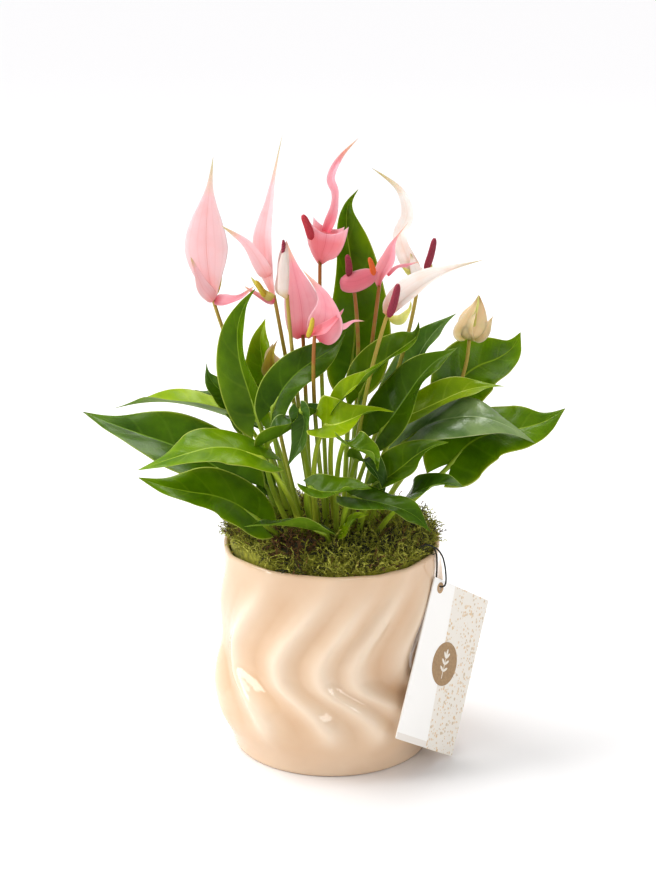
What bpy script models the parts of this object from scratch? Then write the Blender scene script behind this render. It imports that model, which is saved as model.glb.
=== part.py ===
# Potted anthurium: a fluted ceramic pot of soil and moss, heart-shaped leaves and
# spathe flowers on their own stalks, and a card label on a cord.
# Lengths are in millimetres until metres() turns them into Blender's metres.
# +Z is up, the front is -Y, and the origin is the middle of the pot's base.
import math

import bmesh
import bpy
from mathutils import Vector

GAP = 0.3  # left between pieces that touch
UP = Vector((0, 0, 1))

# Pot: a flat foot, a round bowl and an upright wall, with folded flutes between
POT_HEIGHT = 131.0
RIM_RADIUS = 66.3
WAIST_RADIUS = 65.0
BELLY_RADIUS = 71.5
FOOT_RADIUS = 61.0
POT_WALL = 5.6
RIM_THICKNESS = 3.2
POT_FLOOR = 7.0
FLOOR_INSET = 6.0  # of the hollow at its floor
ELBOW_HEIGHT = 66.0  # where the flutes turn back
FLUTES = 12
FLUTE_DEPTH = 3.6
FLUTE_SIDES = 6  # facets across one flute
FLUTE_PHASE = 1.0  # degrees round the pot of a flute's crest at the rim
FLUTE_LEAN = 30.0  # degrees that a flute drifts round the pot above its elbow
FLUTE_RETURN = 36.0  # degrees that it comes back below

# Soil and moss
SOIL_DROP = 17.0  # from the rim down to the soil
MOSS_RISE = 5.0  # crest of the moss above the rim
CROWN_RADIUS = 29.5  # bare soil in the middle, where the stalks stand
SEAT_SPACING = 2.9  # of the golden-angle spiral that the stalks stand on

# Plant
PLANT_SCALE = 1.0  # of all leaf and flower places about the crown
PETIOLE_RADIUS = 1.4
STEM_RADIUS = 1.5
BLADE_THICKNESS = 1.0
SPATHE_THICKNESS = 0.9
SPADIX_RADIUS = 2.3
LEAF_LOBE, SPATHE_LOBE = 0.17, 0.16  # how far the back corners reach, of the length
LEAF_WAVE, SPATHE_WAVE = 1.0, 0.6  # ripple of the edges

# Label
CARD_WIDTH = 65.0
CARD_LENGTH = 99.0
CARD_THICKNESS = 0.6
CARD_FACING = -36.8  # degrees round the pot
CARD_LEAN = 5.3  # degrees back against the pot
CARD_TURN = 30.6  # degrees clockwise in its own plane
CARD_ALONG = 11.7  # its top left corner from where it leans on the pot
CARD_FLOOR_GAP = 0.5
HOLE_ACROSS, HOLE_DOWN, HOLE_RADIUS = 8.3, 5.0, 1.6
CORD_RADIUS = 0.5

SOIL_TOP = POT_HEIGHT - SOIL_DROP
INNER_RADIUS = min(RIM_RADIUS, WAIST_RADIUS) - POT_WALL


def metres(point):
    return Vector(point) / 1000


def smooth(t):
    t = min(max(t, 0.0), 1.0)
    return t * t * (3 - 2 * t)


def mix(a, b, t):
    return a + (b - a) * t


def along(values, t):
    """A smooth curve through evenly spaced values, read at t from 0 to 1."""
    at = min(max(t, 0.0), 1.0) * (len(values) - 1)
    i = min(int(at), len(values) - 2)
    before, after = values[max(i - 1, 0)], values[min(i + 2, len(values) - 1)]
    a, b, f = values[i], values[i + 1], at - i
    slope_a, slope_b = (b - before) / 2, (after - a) / 2
    return (
        a * (2 * f**3 - 3 * f**2 + 1)
        + slope_a * (f**3 - 2 * f**2 + f)
        + b * (3 * f**2 - 2 * f**3)
        + slope_b * (f**3 - f**2)
    )


def bezier(a, b, c, d, t):
    u = 1 - t
    return a * u**3 + b * 3 * u * u * t + c * 3 * u * t * t + d * t**3


def material(name, color, roughness):
    made = bpy.data.materials.get(name) or bpy.data.materials.new(name)
    made.use_nodes = True
    shader = made.node_tree.nodes["Principled BSDF"]
    shader.inputs["Base Color"].default_value = (*color, 1)
    shader.inputs["Roughness"].default_value = roughness
    shader.inputs["Metallic"].default_value = 0.0
    return made


def finish(bm, name, look, sharp=40):
    """Turns a bmesh in millimetres into an object in metres."""
    bmesh.ops.scale(bm, vec=(0.001, 0.001, 0.001), verts=bm.verts)
    bmesh.ops.recalc_face_normals(bm, faces=bm.faces)
    mesh = bpy.data.meshes.new(name)
    bm.to_mesh(mesh)
    bm.free()
    mesh.shade_smooth()
    mesh.set_sharp_from_angle(angle=math.radians(sharp))
    mesh.materials.append(look)
    made = bpy.data.objects.new(name, mesh)
    bpy.context.scene.collection.objects.link(made)
    return made


def loft(name, rings, look, sharp=60):
    """A closed skin over rings of equally many points, flat at both ends."""
    bm = bmesh.new()
    loops = [[bm.verts.new(p) for p in ring] for ring in rings]
    count = len(loops[0])
    for lower, upper in zip(loops, loops[1:]):
        for i in range(count):
            j = (i + 1) % count
            bm.faces.new((lower[i], lower[j], upper[j], upper[i]))
    bm.faces.new(loops[0][::-1])
    bm.faces.new(loops[-1])
    return finish(bm, name, look, sharp)


def turned(name, profile, sides, look, bump=lambda angle, radius, height: 0.0):
    """A ring-shaped or solid turned body: profile is a closed loop of (radius, height)."""
    bm = bmesh.new()
    columns = []
    for k in range(sides):
        angle = math.tau * k / sides
        column = []
        for radius, height in profile:
            rise = height + bump(angle, radius, height)
            place = Vector((radius * math.cos(angle), radius * math.sin(angle), rise))
            column.append(bm.verts.new(place))
        columns.append(column)
    for k in range(sides):
        a, b = columns[k], columns[(k + 1) % sides]
        for i in range(len(profile)):
            j = (i + 1) % len(profile)
            bm.faces.new((a[i], a[j], b[j], b[i]))
    return finish(bm, name, look)


# ---------------------------------------------------------------- pot


def wall_radius(height):
    """Middle radius of the pot's outside, before the flutes."""
    share = height / POT_HEIGHT
    if height > ELBOW_HEIGHT:
        t = (height - ELBOW_HEIGHT) / (POT_HEIGHT - ELBOW_HEIGHT)
        return mix(WAIST_RADIUS, RIM_RADIUS, smooth(t))
    below = height / ELBOW_HEIGHT
    bowl = mix(BELLY_RADIUS, WAIST_RADIUS, smooth((below - 0.62) / 0.38))
    foot = (FOOT_RADIUS - BELLY_RADIUS) * (1 - smooth(share / 0.28)) ** 1.6
    return bowl + foot


def fold_angle(height):
    """Degrees that a flute has drifted round the pot at a height."""
    if height > ELBOW_HEIGHT:
        lean = FLUTE_LEAN * (POT_HEIGHT - height) / (POT_HEIGHT - ELBOW_HEIGHT)
        return FLUTE_PHASE - lean
    return FLUTE_PHASE - FLUTE_LEAN + FLUTE_RETURN * (1 - height / ELBOW_HEIGHT)


def fold_depth(height):
    below = smooth((height - 0.14 * POT_HEIGHT) / (0.18 * POT_HEIGHT))
    above = mix(1.0, 0.25, smooth((height / POT_HEIGHT - 0.72) / 0.26))
    return FLUTE_DEPTH * below * above


def pot():
    glaze = material("peach_glaze", (0.83, 0.60, 0.44), 0.15)
    outside = [0.0, 0.02, 0.07, 0.14, 0.21, 0.28, 0.35, 0.42, 0.47]
    outside += [0.52, 0.58, 0.66, 0.75, 0.84, 0.93, 0.985]
    sides = FLUTES * FLUTE_SIDES
    bm = bmesh.new()
    rows = []
    for share in outside:
        height = share * POT_HEIGHT
        drift = math.radians(fold_angle(height))
        row = []
        for k in range(sides):
            crest = (k % FLUTE_SIDES) / FLUTE_SIDES
            depth = fold_depth(height) * (((1 + math.cos(math.tau * crest)) / 2) ** 1.4 - 0.4)
            angle = math.tau * k / sides + drift
            row.append((wall_radius(height) + depth, angle, height))
        rows.append(row)
    rim_angle = math.radians(fold_angle(POT_HEIGHT))
    inside = [
        (RIM_RADIUS - 0.35 * RIM_THICKNESS, POT_HEIGHT),
        (RIM_RADIUS - RIM_THICKNESS, POT_HEIGHT - 1.2),
        (INNER_RADIUS, POT_HEIGHT - 14),
        (INNER_RADIUS, POT_FLOOR + 8),
        (INNER_RADIUS - FLOOR_INSET, POT_FLOOR),
    ]
    for radius, height in inside:
        rows.append([(radius, math.tau * k / sides + rim_angle, height) for k in range(sides)])
    loops = []
    for row in rows:
        loop = [bm.verts.new((r * math.cos(a), r * math.sin(a), z)) for r, a, z in row]
        loops.append(loop)
    for lower, upper in zip(loops, loops[1:]):
        for i in range(sides):
            j = (i + 1) % sides
            bm.faces.new((lower[i], lower[j], upper[j], upper[i]))
    bm.faces.new(loops[0][::-1])
    bm.faces.new(loops[-1])
    finish(bm, "cover_pot", glaze, 50)


# ---------------------------------------------------------------- soil and moss


def soil():
    look = material("potting_soil", (0.09, 0.06, 0.04), 0.95)
    radius = INNER_RADIUS - GAP
    profile = [
        (radius - FLOOR_INSET - 1, POT_FLOOR + GAP),
        (radius - 0.4, POT_FLOOR + 9),
        (radius, POT_FLOOR + 12),
        (radius, SOIL_TOP),
    ]
    sides = 40
    rings = []
    for r, z in profile:
        ring = []
        for k in range(sides):
            angle = math.tau * k / sides
            ring.append(Vector((r * math.cos(angle), r * math.sin(angle), z)))
        rings.append(ring)
    loft("root_ball", rings, look)


def moss():
    look = material("moss", (0.24, 0.21, 0.06), 0.95)
    outer = INNER_RADIUS - GAP
    lip = RIM_RADIUS - RIM_THICKNESS - 1.2
    floor = SOIL_TOP + GAP
    crest = POT_HEIGHT + MOSS_RISE
    neck = min(outer, lip)
    profile = [
        (CROWN_RADIUS, floor),
        (outer, floor),
        (outer, POT_HEIGHT - 15),
        (neck, POT_HEIGHT - 2),
        (neck - 3.5, POT_HEIGHT + 1.5),
        (mix(CROWN_RADIUS, outer, 0.62), crest),
        (mix(CROWN_RADIUS, outer, 0.25), crest - 1),
        (CROWN_RADIUS, POT_HEIGHT - 3),
    ]

    def lumps(angle, radius, height):
        if height < POT_HEIGHT:
            return 0.0
        return 1.6 * math.sin(5 * angle + 0.09 * radius) + 0.9 * math.sin(11 * angle + 0.3 * radius)

    turned("moss_mat", profile, 44, look, lumps)


# ---------------------------------------------------------------- stalks

taken_seats = set()


def seat(head):
    """The free place of a golden-angle spiral on the soil that suits a stalk's head: under it,
    and further out for a low one."""
    spots = []
    for k in range(64):
        reach = SEAT_SPACING * math.sqrt(k * 0.92 + 0.4)
        angle = math.radians(137.508 * k)
        spots.append(Vector((reach * math.cos(angle), reach * math.sin(angle), 0)))
    reach = min(max(25 - 0.10 * (head.z - SOIL_TOP), 6), 20)
    wanted = Vector((head.x, head.y, 0)).normalized() * reach
    free = [k for k in range(len(spots)) if k not in taken_seats]
    best = min(free, key=lambda k: (spots[k] - wanted).length)
    taken_seats.add(best)
    return spots[best]


def planted(point):
    """A place given from the crown, in the pot's own frame."""
    return Vector(point) * PLANT_SCALE + UP * SOIL_TOP


def round_ring(centre, right, face, radius, sides=8):
    ring = []
    for k in range(sides):
        angle = math.tau * k / sides
        ring.append(centre + right * radius * math.cos(angle) + face * radius * math.sin(angle))
    return ring


def tube_rings(points, radii, right, sides):
    """Rings along a line, carried backwards from its far end without twisting."""
    rings = []
    for i in reversed(range(len(points))):
        ahead = points[min(i + 1, len(points) - 1)] - points[max(i - 1, 0)]
        ahead.normalize()
        right = (right - ahead * right.dot(ahead)).normalized()
        face = right.cross(ahead)
        rings.append(round_ring(points[i], right, face, radii[i], sides))
    return rings[::-1]


def stood(rings, level):
    """The same stalk with its foot cut level."""
    for point in rings[0]:
        point.z = level
    return rings


def stalk_points(foot, head, arrive, rise, count):
    """Up from the soil and over to the head, reaching it along arrive."""
    span = (head - foot).length
    direct = (head - foot).normalized()
    start = (direct + UP * rise).normalized()
    first = foot + start * span * 0.33
    last = head - arrive.normalized() * span * 0.33
    return [bezier(foot, first, last, head, k / count) for k in range(count + 1)]


# ---------------------------------------------------------------- blades

LEAF_OUTLINE = [0.40, 0.86, 1.0, 0.97, 0.84, 0.62, 0.36, 0.14]
SPATHE_OUTLINE = [0.46, 0.92, 1.0, 0.86, 0.62, 0.36, 0.17, 0.07]
ACROSS = (1.0, 0.5, 0.0, -0.5, -1.0)


def blade(joint, tip, face, width, thickness, outline, lobe, bow, cup, wave, sway):
    """Rings of a thin heart-shaped blade, with the frame it starts from.

    bow arches the midrib towards the face, sway bends it sideways, cup lifts the edges,
    wave ripples them, and lobe is how far the back corners reach."""
    chord = tip - joint
    length = chord.length
    heading = chord.normalized()
    side = heading.cross(Vector(face)).normalized()
    normal = side.cross(heading)

    def midrib(t):
        arch = 4 * t * (1 - t)
        return joint + chord * t + normal * bow * arch + side * sway * arch

    rings = []
    first = None
    for i, share in enumerate(outline):
        t = 0.03 + 0.95 * (i / (len(outline) - 1)) ** 1.15
        ahead = (midrib(t + 0.02) - midrib(t - 0.02)).normalized()
        right = (side - ahead * side.dot(ahead)).normalized()
        up = right.cross(ahead)
        if first is None:
            first = (right, up, ahead)
        half = width / 2 * share
        back = lobe * (1 - smooth(i / 3.2))
        middle = midrib(t)
        skin = thickness * (0.5 if share > 0.2 else 0.3)
        top, bottom = [], []
        for u in ACROSS:
            ripple = wave * math.sin(5.2 * t * math.pi + (0.8 if u > 0 else 2.3)) * u * u
            lift = cup * width / 2 * share * abs(u) ** 1.6 + ripple * share
            place = middle + right * half * u + up * lift - ahead * back * abs(u) ** 1.4
            edge = abs(u) == 1.0
            top.append(place if edge else place + up * skin)
            if not edge:
                bottom.append(place - up * skin)
        rings.append(top + bottom[::-1])
    rings.append(round_ring(midrib(1.0), right, up, 0.25))
    return rings, first


def leaf(name, joint, tip, width, face, look="leaf_green", bow=3.0, cup=0.18, rise=0.5,
         foot=None):
    """A stalk and its blade, grown as one piece."""
    colors = {
        "leaf_green": (0.05, 0.15, 0.03),
        "leaf_dark": (0.02, 0.07, 0.02),
        "leaf_young": (0.26, 0.36, 0.05),
    }
    joint, tip = planted(joint), planted(tip)
    width *= PLANT_SCALE
    length = (tip - joint).length
    rings, (right, up, ahead) = blade(
        joint, tip, face, width, BLADE_THICKNESS, LEAF_OUTLINE, LEAF_LOBE * length,
        bow, cup, LEAF_WAVE, 0.0,
    )
    foot = seat(joint if foot is None else planted(foot)) + UP * (SOIL_TOP + GAP)
    into = (joint - foot).normalized() + ahead * 0.5
    points = stalk_points(foot, joint, into, rise, 6)
    radii = [mix(PETIOLE_RADIUS * 1.15, PETIOLE_RADIUS * 0.75, k / 6) for k in range(7)]
    stalk = stood(tube_rings(points, radii, right, 8), foot.z)
    loft(name, stalk + rings, material(look, colors[look], 0.45))


# ---------------------------------------------------------------- flowers


def flower(name, head, tip, width, face, spadix, look="spathe_pink", bow=2.0, cup=0.45,
           sway=0.0, rise=0.4, spadix_length=20.0, spadix_look="spadix_red", foot=None):
    """A stem, the spathe on it, and the spadix in front of the spathe. An enclosed spadix
    is left out with spadix=None."""
    colors = {
        "spathe_pink": (0.80, 0.32, 0.32),
        "spathe_coral": (0.80, 0.20, 0.17),
        "spathe_cream": (0.85, 0.72, 0.58),
        "spadix_red": (0.30, 0.04, 0.05),
        "spadix_yellow": (0.70, 0.55, 0.12),
    }
    head, tip = planted(head), planted(tip)
    width *= PLANT_SCALE
    length = (tip - head).length
    rings, (right, up, ahead) = blade(
        head, tip, face, width, SPATHE_THICKNESS, SPATHE_OUTLINE, SPATHE_LOBE * length,
        bow, cup, SPATHE_WAVE, sway,
    )
    start = round_ring(rings[0][2] - up * SPATHE_THICKNESS / 2 - ahead * 0.8, right, up, 0.4)
    loft(name + "_spathe", [start] + rings, material(look, colors[look], 0.3))

    foot = seat(head if foot is None else planted(foot)) + UP * (SOIL_TOP + GAP)
    into = ((head - foot).normalized() + ahead * 0.3).normalized()
    skew = math.sqrt(max(0.0, 1 - into.dot(up) ** 2))
    end = head - up * (SPATHE_THICKNESS / 2 + GAP + STEM_RADIUS * 0.8 * skew + 0.15)
    points = stalk_points(foot, end, into, rise, 7)
    radii = [mix(STEM_RADIUS * 1.15, STEM_RADIUS * 0.8, k / 7) for k in range(8)]
    stem_look = material("stem", (0.30, 0.14, 0.06), 0.4)
    loft(name + "_stem", stood(tube_rings(points, radii, right, 6), foot.z), stem_look)

    if spadix is None:
        return
    lean = Vector(spadix).normalized()
    skew = math.sqrt(max(0.0, 1 - lean.dot(up) ** 2))
    lift = SPATHE_THICKNESS / 2 + GAP + SPADIX_RADIUS * skew + 0.3
    base = head + up * lift + ahead * 1.5
    size = [0.55, 0.95, 1.0, 0.92, 0.75, 0.3]
    points = [base + lean * spadix_length * PLANT_SCALE * k / 5 for k in range(6)]
    radii = [SPADIX_RADIUS * s for s in size]
    rings = tube_rings(points, radii, right, 8)
    loft(name + "_spadix", rings, material(spadix_look, colors[spadix_look], 0.6))


def bud(name, head, tip, radius, look, color, rise=0.4, foot=None):
    """A closed spathe on its stem, grown as one piece."""
    head, tip = planted(head), planted(tip)
    foot = seat(head if foot is None else planted(foot)) + UP * (SOIL_TOP + GAP)
    swell = [0.55, 0.9, 1.0, 0.85, 0.5, 0.12]
    ahead = (tip - head).normalized()
    stem = stalk_points(foot, head, ahead, rise, 7)
    top = [mix(head, tip, (k + 1) / len(swell)) for k in range(len(swell))]
    radii = [mix(STEM_RADIUS * 1.1, STEM_RADIUS * 0.8, k / 7) for k in range(8)]
    radii += [radius * s for s in swell]
    rings = stood(tube_rings(stem + top, radii, Vector((1, 0, 0)), 8), foot.z)
    loft(name, rings, material(look, color, 0.35))


# ---------------------------------------------------------------- label


def card_frame():
    """The card's outward normal, its across and down directions, and its top left corner."""
    facing, lean, turn = (math.radians(a) for a in (CARD_FACING, CARD_LEAN, CARD_TURN))
    outward = Vector((math.cos(facing), math.sin(facing), 0))
    normal = outward * math.cos(lean) + UP * math.sin(lean)
    level = UP.cross(outward)
    down = level.cross(normal)
    across_card = level * math.cos(turn) + down * math.sin(turn)
    down_card = down * math.cos(turn) - level * math.sin(turn)
    belly = BELLY_RADIUS + 0.6 * FLUTE_DEPTH
    reach = max(
        belly * math.cos(lean) + 0.4 * POT_HEIGHT * math.sin(lean),
        RIM_RADIUS * math.cos(lean) + POT_HEIGHT * math.sin(lean),
    )
    corner = normal * (reach + GAP + CARD_THICKNESS / 2) + level * CARD_ALONG
    lower_right = corner + across_card * CARD_WIDTH + down_card * CARD_LENGTH
    drop = (CARD_FLOOR_GAP - lower_right.z) / down.z  # its lowest corner stands on the floor
    top_left = corner + down * drop
    return normal, across_card, down_card, top_left


def card():
    look = material("tag_card", (0.78, 0.74, 0.68), 0.7)
    normal, across_card, down_card, top_left = card_frame()
    bm = bmesh.new()
    half = normal * CARD_THICKNESS / 2
    hole = top_left + across_card * HOLE_ACROSS + down_card * HOLE_DOWN
    corners = [
        top_left,
        top_left + across_card * CARD_WIDTH,
        top_left + across_card * CARD_WIDTH + down_card * CARD_LENGTH,
        top_left + down_card * CARD_LENGTH,
    ]
    count = 16
    inner = []
    for k in range(count):
        angle = math.tau * k / count
        spoke = across_card * math.cos(angle) + down_card * math.sin(angle)
        inner.append(hole + spoke * HOLE_RADIUS)
    front_hole = [bm.verts.new(p + half) for p in inner]
    back_hole = [bm.verts.new(p - half) for p in inner]
    front = [bm.verts.new(p + half) for p in corners]
    back = [bm.verts.new(p - half) for p in corners]
    for k in range(count):
        j = (k + 1) % count
        bm.faces.new((front_hole[k], front_hole[j], back_hole[j], back_hole[k]))
    for k in range(len(corners)):
        j = (k + 1) % len(corners)
        bm.faces.new((front[k], back[k], back[j], front[j]))
    # each corner fans out to the quarter of the hole that looks its way
    quarter = count // 4
    for side_hole, side_corners in ((front_hole, front), (back_hole, back)):
        for c, first in ((0, 2), (1, 3), (2, 0), (3, 1)):
            owned = [side_hole[(first * quarter + i) % count] for i in range(quarter + 1)]
            for a, b in zip(owned, owned[1:]):
                bm.faces.new((side_corners[c], a, b))
            following = (c + 1) % 4
            bm.faces.new((side_corners[c], owned[-1], side_corners[following]))
    finish(bm, "tag_card", look, 30)


CORD_ROUTE = [
    (48, -35, 134), (51, -35, 137.5), (55, -34.5, 139.5), (59, -34, 139), (63, -33.5, 136.5),
    (66, -33, 132), (67.6, -32, 126), (68.4, -31, 120), (68.6, -30, 114.5), (67.8, -29.4, 111.6),
    (65.6, -28.2, 110.4), (63.6, -27, 111.8), (63.0, -26.6, 115), (63.2, -26.4, 120),
    (63.2, -26.4, 126), (62.6, -26.2, 131.6), (60, -25.6, 135.6), (56, -25, 137), (51, -24, 136.4),
]


def cord():
    look = material("waxed_cord", (0.02, 0.04, 0.03), 0.6)
    points = [Vector(p) for p in CORD_ROUTE]
    curve = bpy.data.curves.new("tag_cord", "CURVE")
    curve.dimensions = "3D"
    curve.bevel_depth = CORD_RADIUS / 1000
    curve.bevel_resolution = 2
    curve.render_resolution_u = 0
    curve.use_fill_caps = True
    curve.materials.append(look)
    count = 52
    spline = curve.splines.new("POLY")
    spline.points.add(count - 1)
    for k in range(count):
        spline.points[k].co = (*metres(along(points, k / (count - 1))), 1)
    made = bpy.data.objects.new("tag_cord", curve)
    bpy.context.scene.collection.objects.link(made)


# ---------------------------------------------------------------- the plant
# Places are from the crown, the middle of the soil's top: x to the right, y away, z up.


def leaves():
    leaf("leaf_01", (-58, -10, 58), (-152, 25, 90), 44, (0, -0.45, 0.9), "leaf_dark", rise=1.0)
    leaf("leaf_02", (-53, 25, 84), (-136, 45, 86), 36, (0, 0.15, 1), "leaf_young", bow=6)
    leaf("leaf_03", (-40, -47, 84), (-111, -68, 86), 36, (0, -0.2, 1), "leaf_young", bow=6)
    leaf("leaf_04", (-44, -37, 43), (-112, -55, 75), 34, (0, -0.45, 0.9), rise=3.2)
    leaf("leaf_05", (-4, -43, 37), (-51, -61, 47), 24, (0, 0.3, 1), "leaf_dark", rise=2)
    leaf("leaf_06", (-51, 42, 76), (-86, 66, 92), 24, (-0.2, -0.2, 1), "leaf_dark", rise=1)
    leaf("leaf_07", (-45, 2, 95), (-46, 8, 172), 34, (-0.8, -0.5, 0.1), bow=2, rise=0.9)
    leaf("leaf_08", (-42, 28, 101), (-43, 38, 147), 22, (-0.9, -0.2, 0.1), "leaf_young")
    leaf("leaf_09", (-35, -18, 105), (9, -2, 149), 25, (-0.3, -0.85, 0.4))
    leaf("leaf_10", (-38, -34, 90), (0, -30, 113), 22, (-0.4, 0.2, 0.8), bow=0,
         foot=(-38, -14, 90))
    leaf("leaf_11", (12, 38, 115), (16, 50, 223), 40, (0.15, -1, 0.2), cup=0.3)
    leaf("leaf_12", (17, -6, 110), (52, 7, 152), 24, (-0.5, -0.3, 0.7), "leaf_young")
    leaf("leaf_13", (37, 16, 100), (76, 34, 150), 28, (-0.7, -0.35, 0.5))
    leaf("leaf_14", (29, -18, 91), (74, -12, 141), 30, (-0.6, -0.5, 0.6), "leaf_dark")
    leaf("leaf_15", (75, 25, 101), (116, 45, 135), 36, (0.1, -0.75, 0.6), rise=1)
    leaf("leaf_16", (42, -4, 95), (104, 6, 112), 28, (-0.1, -0.2, 1), "leaf_young", rise=0.8,
         foot=(42, 8, 95))
    leaf("leaf_17", (42, -8, 80), (120, -24, 86), 40, (0, -0.1, 1), rise=1, foot=(30, -12, 95))
    leaf("leaf_18", (71, -15, 70), (140, 0, 100), 42, (0.1, -0.4, 0.9), rise=1.4)
    leaf("leaf_19", (26, -37, 65), (68, -44, 93), 26, (-0.1, -0.3, 0.95), rise=0.8)
    leaf("leaf_20", (42, -40, 56), (76, -63, 72), 24, (0, -0.3, 1), "leaf_dark", rise=2)
    leaf("leaf_21", (12, -55, 63), (57, -79, 50), 26, (0, -0.2, 1), "leaf_dark", rise=1)
    leaf("leaf_22", (-13, -55, 69), (23, -71, 74), 21, (0, -0.3, 1), rise=1)
    leaf("leaf_23", (-4, -41, 102), (36, -46, 112), 28, (0, -0.6, 0.7), "leaf_young",
         foot=(-14, -20, 101))
    leaf("leaf_24", (7, -61.5, 98.5), (26, -83.5, 88.5), 22, (0.3, -0.6, 0.6), rise=0.8)


def flowers():
    flower("flower_1", (-70, 24, 159), (-74, 26, 247), 30, (0.7, 1, 0.2), (0.3, 1, 0.6), sway=5,
           foot=(-70, 24, 120))
    flower("flower_2", (-34, 14, 165), (-28, 20, 261), 30, (-1, -0.4, 0.2), (-0.8, -0.2, 1),
           "spathe_cream", spadix_look="spadix_yellow", spadix_length=16)
    flower("flower_3", (-28, -12, 172), (-28, -12, 206), 14, (0.3, -1, 0.1), (0.1, -0.25, 1),
           "spathe_cream", cup=0.6, spadix_length=34)
    flower("flower_4", (-17, 0, 144), (-26, 2, 201), 20, (0.3, -1, 0.2), None, cup=0.9)
    flower("flower_5", (-6, -26, 157), (-17, -31, 193), 34, (-0.3, -1, 0.4), (-0.5, -0.8, 0.8),
           spadix_look="spadix_yellow", spadix_length=12)
    flower("flower_6", (-7, 20, 188), (16, 40, 255), 30, (-0.8, -0.3, 0.4), (-0.8, -0.2, 1),
           "spathe_coral", bow=5)
    flower("flower_7", (10, 8, 171), (22, 3, 178), 19, (0, -0.2, 1), (0, 0, 1),
           "spathe_coral", spadix_length=16)
    flower("flower_8", (28, 7, 173), (45, 12, 209), 22, (-0.8, -0.5, 0.3), (-0.4, -0.2, 1),
           spadix_look="spadix_yellow", spadix_length=14, foot=(20, 20, 150))
    flower("flower_9", (50, 24, 173), (23, 40, 237), 26, (0.8, -0.4, 0.3), (0.4, -0.1, 1), bow=9,
           foot=(30, 50, 173))
    flower("flower_10", (31, -24, 162), (88, -16, 195), 30, (-0.4, -0.5, 0.8), (0.1, -0.3, 1),
           "spathe_cream")
    bud("bud_1", (83, 20, 138), (88, 20, 164), 8, "bud_cream", (0.80, 0.66, 0.45))
    bud("bud_2", (-35, 4, 122), (-38, 4, 140), 5.5, "bud_green", (0.30, 0.40, 0.12),
        foot=(-36, -14, 122))


def build():
    for old in list(bpy.data.objects):
        bpy.data.objects.remove(old, do_unlink=True)
    pot()
    soil()
    moss()
    flowers()
    leaves()
    card()
    cord()


build()
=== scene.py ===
import math
import random

import bmesh
import bpy
from mathutils import Matrix, Vector, noise


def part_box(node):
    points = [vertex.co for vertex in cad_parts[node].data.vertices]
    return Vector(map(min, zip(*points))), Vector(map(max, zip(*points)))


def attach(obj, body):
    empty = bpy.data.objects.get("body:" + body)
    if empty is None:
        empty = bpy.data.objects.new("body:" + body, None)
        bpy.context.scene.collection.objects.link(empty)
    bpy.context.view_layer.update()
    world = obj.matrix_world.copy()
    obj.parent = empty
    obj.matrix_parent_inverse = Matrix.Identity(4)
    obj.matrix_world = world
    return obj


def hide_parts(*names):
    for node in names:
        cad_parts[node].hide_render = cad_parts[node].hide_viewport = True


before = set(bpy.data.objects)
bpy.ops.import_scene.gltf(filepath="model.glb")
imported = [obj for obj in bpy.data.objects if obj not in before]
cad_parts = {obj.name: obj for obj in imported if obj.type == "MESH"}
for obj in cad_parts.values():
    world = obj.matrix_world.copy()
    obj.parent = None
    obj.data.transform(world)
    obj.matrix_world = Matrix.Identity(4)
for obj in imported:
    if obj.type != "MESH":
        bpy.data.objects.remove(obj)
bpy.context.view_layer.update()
print("frame loaded:", len(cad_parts), "nodes")

# Shapes are worked out in millimetres, and shrunk to metres as each mesh is made.
upward = Vector((0, 0, 1))
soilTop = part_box("root_ball")[1][2] * 1000  # the crown's height, which plant places are given from
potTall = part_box("cover_pot")[1][2] * 1000


def linear(hexText):
    # an sRGB hex colour as the linear numbers that shaders want
    parts = [int(hexText[k:k + 2], 16) / 255 for k in (0, 2, 4)]
    return (*[c / 12.92 if c <= 0.04045 else ((c + 0.055) / 1.055) ** 2.4 for c in parts], 1.0)


def ease(t):
    t = min(max(t, 0.0), 1.0)
    return t * t * (3 - 2 * t)


def blend(a, b, t):
    return a + (b - a) * t


def readCurve(values, t):
    # a smooth curve through evenly spaced values, numbers or points, read at t from 0 to 1
    at = min(max(t, 0.0), 1.0) * (len(values) - 1)
    i = min(int(at), len(values) - 2)
    before, after = values[max(i - 1, 0)], values[min(i + 2, len(values) - 1)]
    a, b, f = values[i], values[i + 1], at - i
    slopeA, slopeB = (b - before) / 2, (after - a) / 2
    return (a * (2 * f**3 - 3 * f**2 + 1) + slopeA * (f**3 - 2 * f**2 + f)
            + b * (3 * f**2 - 2 * f**3) + slopeB * (f**3 - f**2))


def bell(x, width):
    return math.exp(-(x / width) ** 2)


def around(radius, angle):
    return radius * math.cos(angle), radius * math.sin(angle)


def planted(point):
    return Vector(point) + upward * soilTop


def addNode(tree, kind, feeds=None, **settings):
    # one shader node, with its settings, and its inputs set or linked; a node given is read at its first output
    node = tree.nodes.new("ShaderNode" + kind)
    for name, value in settings.items():
        if name == "stops":
            setRamp(node.color_ramp, value)
        else:
            setattr(node, name, value)
    for name, value in (feeds or {}).items():
        value = value.outputs[0] if isinstance(value, bpy.types.Node) else value
        if isinstance(value, bpy.types.NodeSocket):
            tree.links.new(value, node.inputs[name])
        else:
            node.inputs[name].default_value = value
    return node


shaderWords = {"color": "Base Color", "roughness": "Roughness", "ior": "IOR", "glow": "Subsurface Weight",
               "glowReach": "Subsurface Scale", "glowColor": "Subsurface Radius", "sheen": "Sheen Weight",
               "specular": "Specular IOR Level"}


def startMaterial(name, **values):
    # a material's Principled shader, with plain values on its own sockets
    made = bpy.data.materials.new(name)
    made.use_nodes = True
    shader = made.node_tree.nodes["Principled BSDF"]
    for key, value in values.items():
        shader.inputs[shaderWords[key]].default_value = value
    return made, made.node_tree, shader


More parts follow.
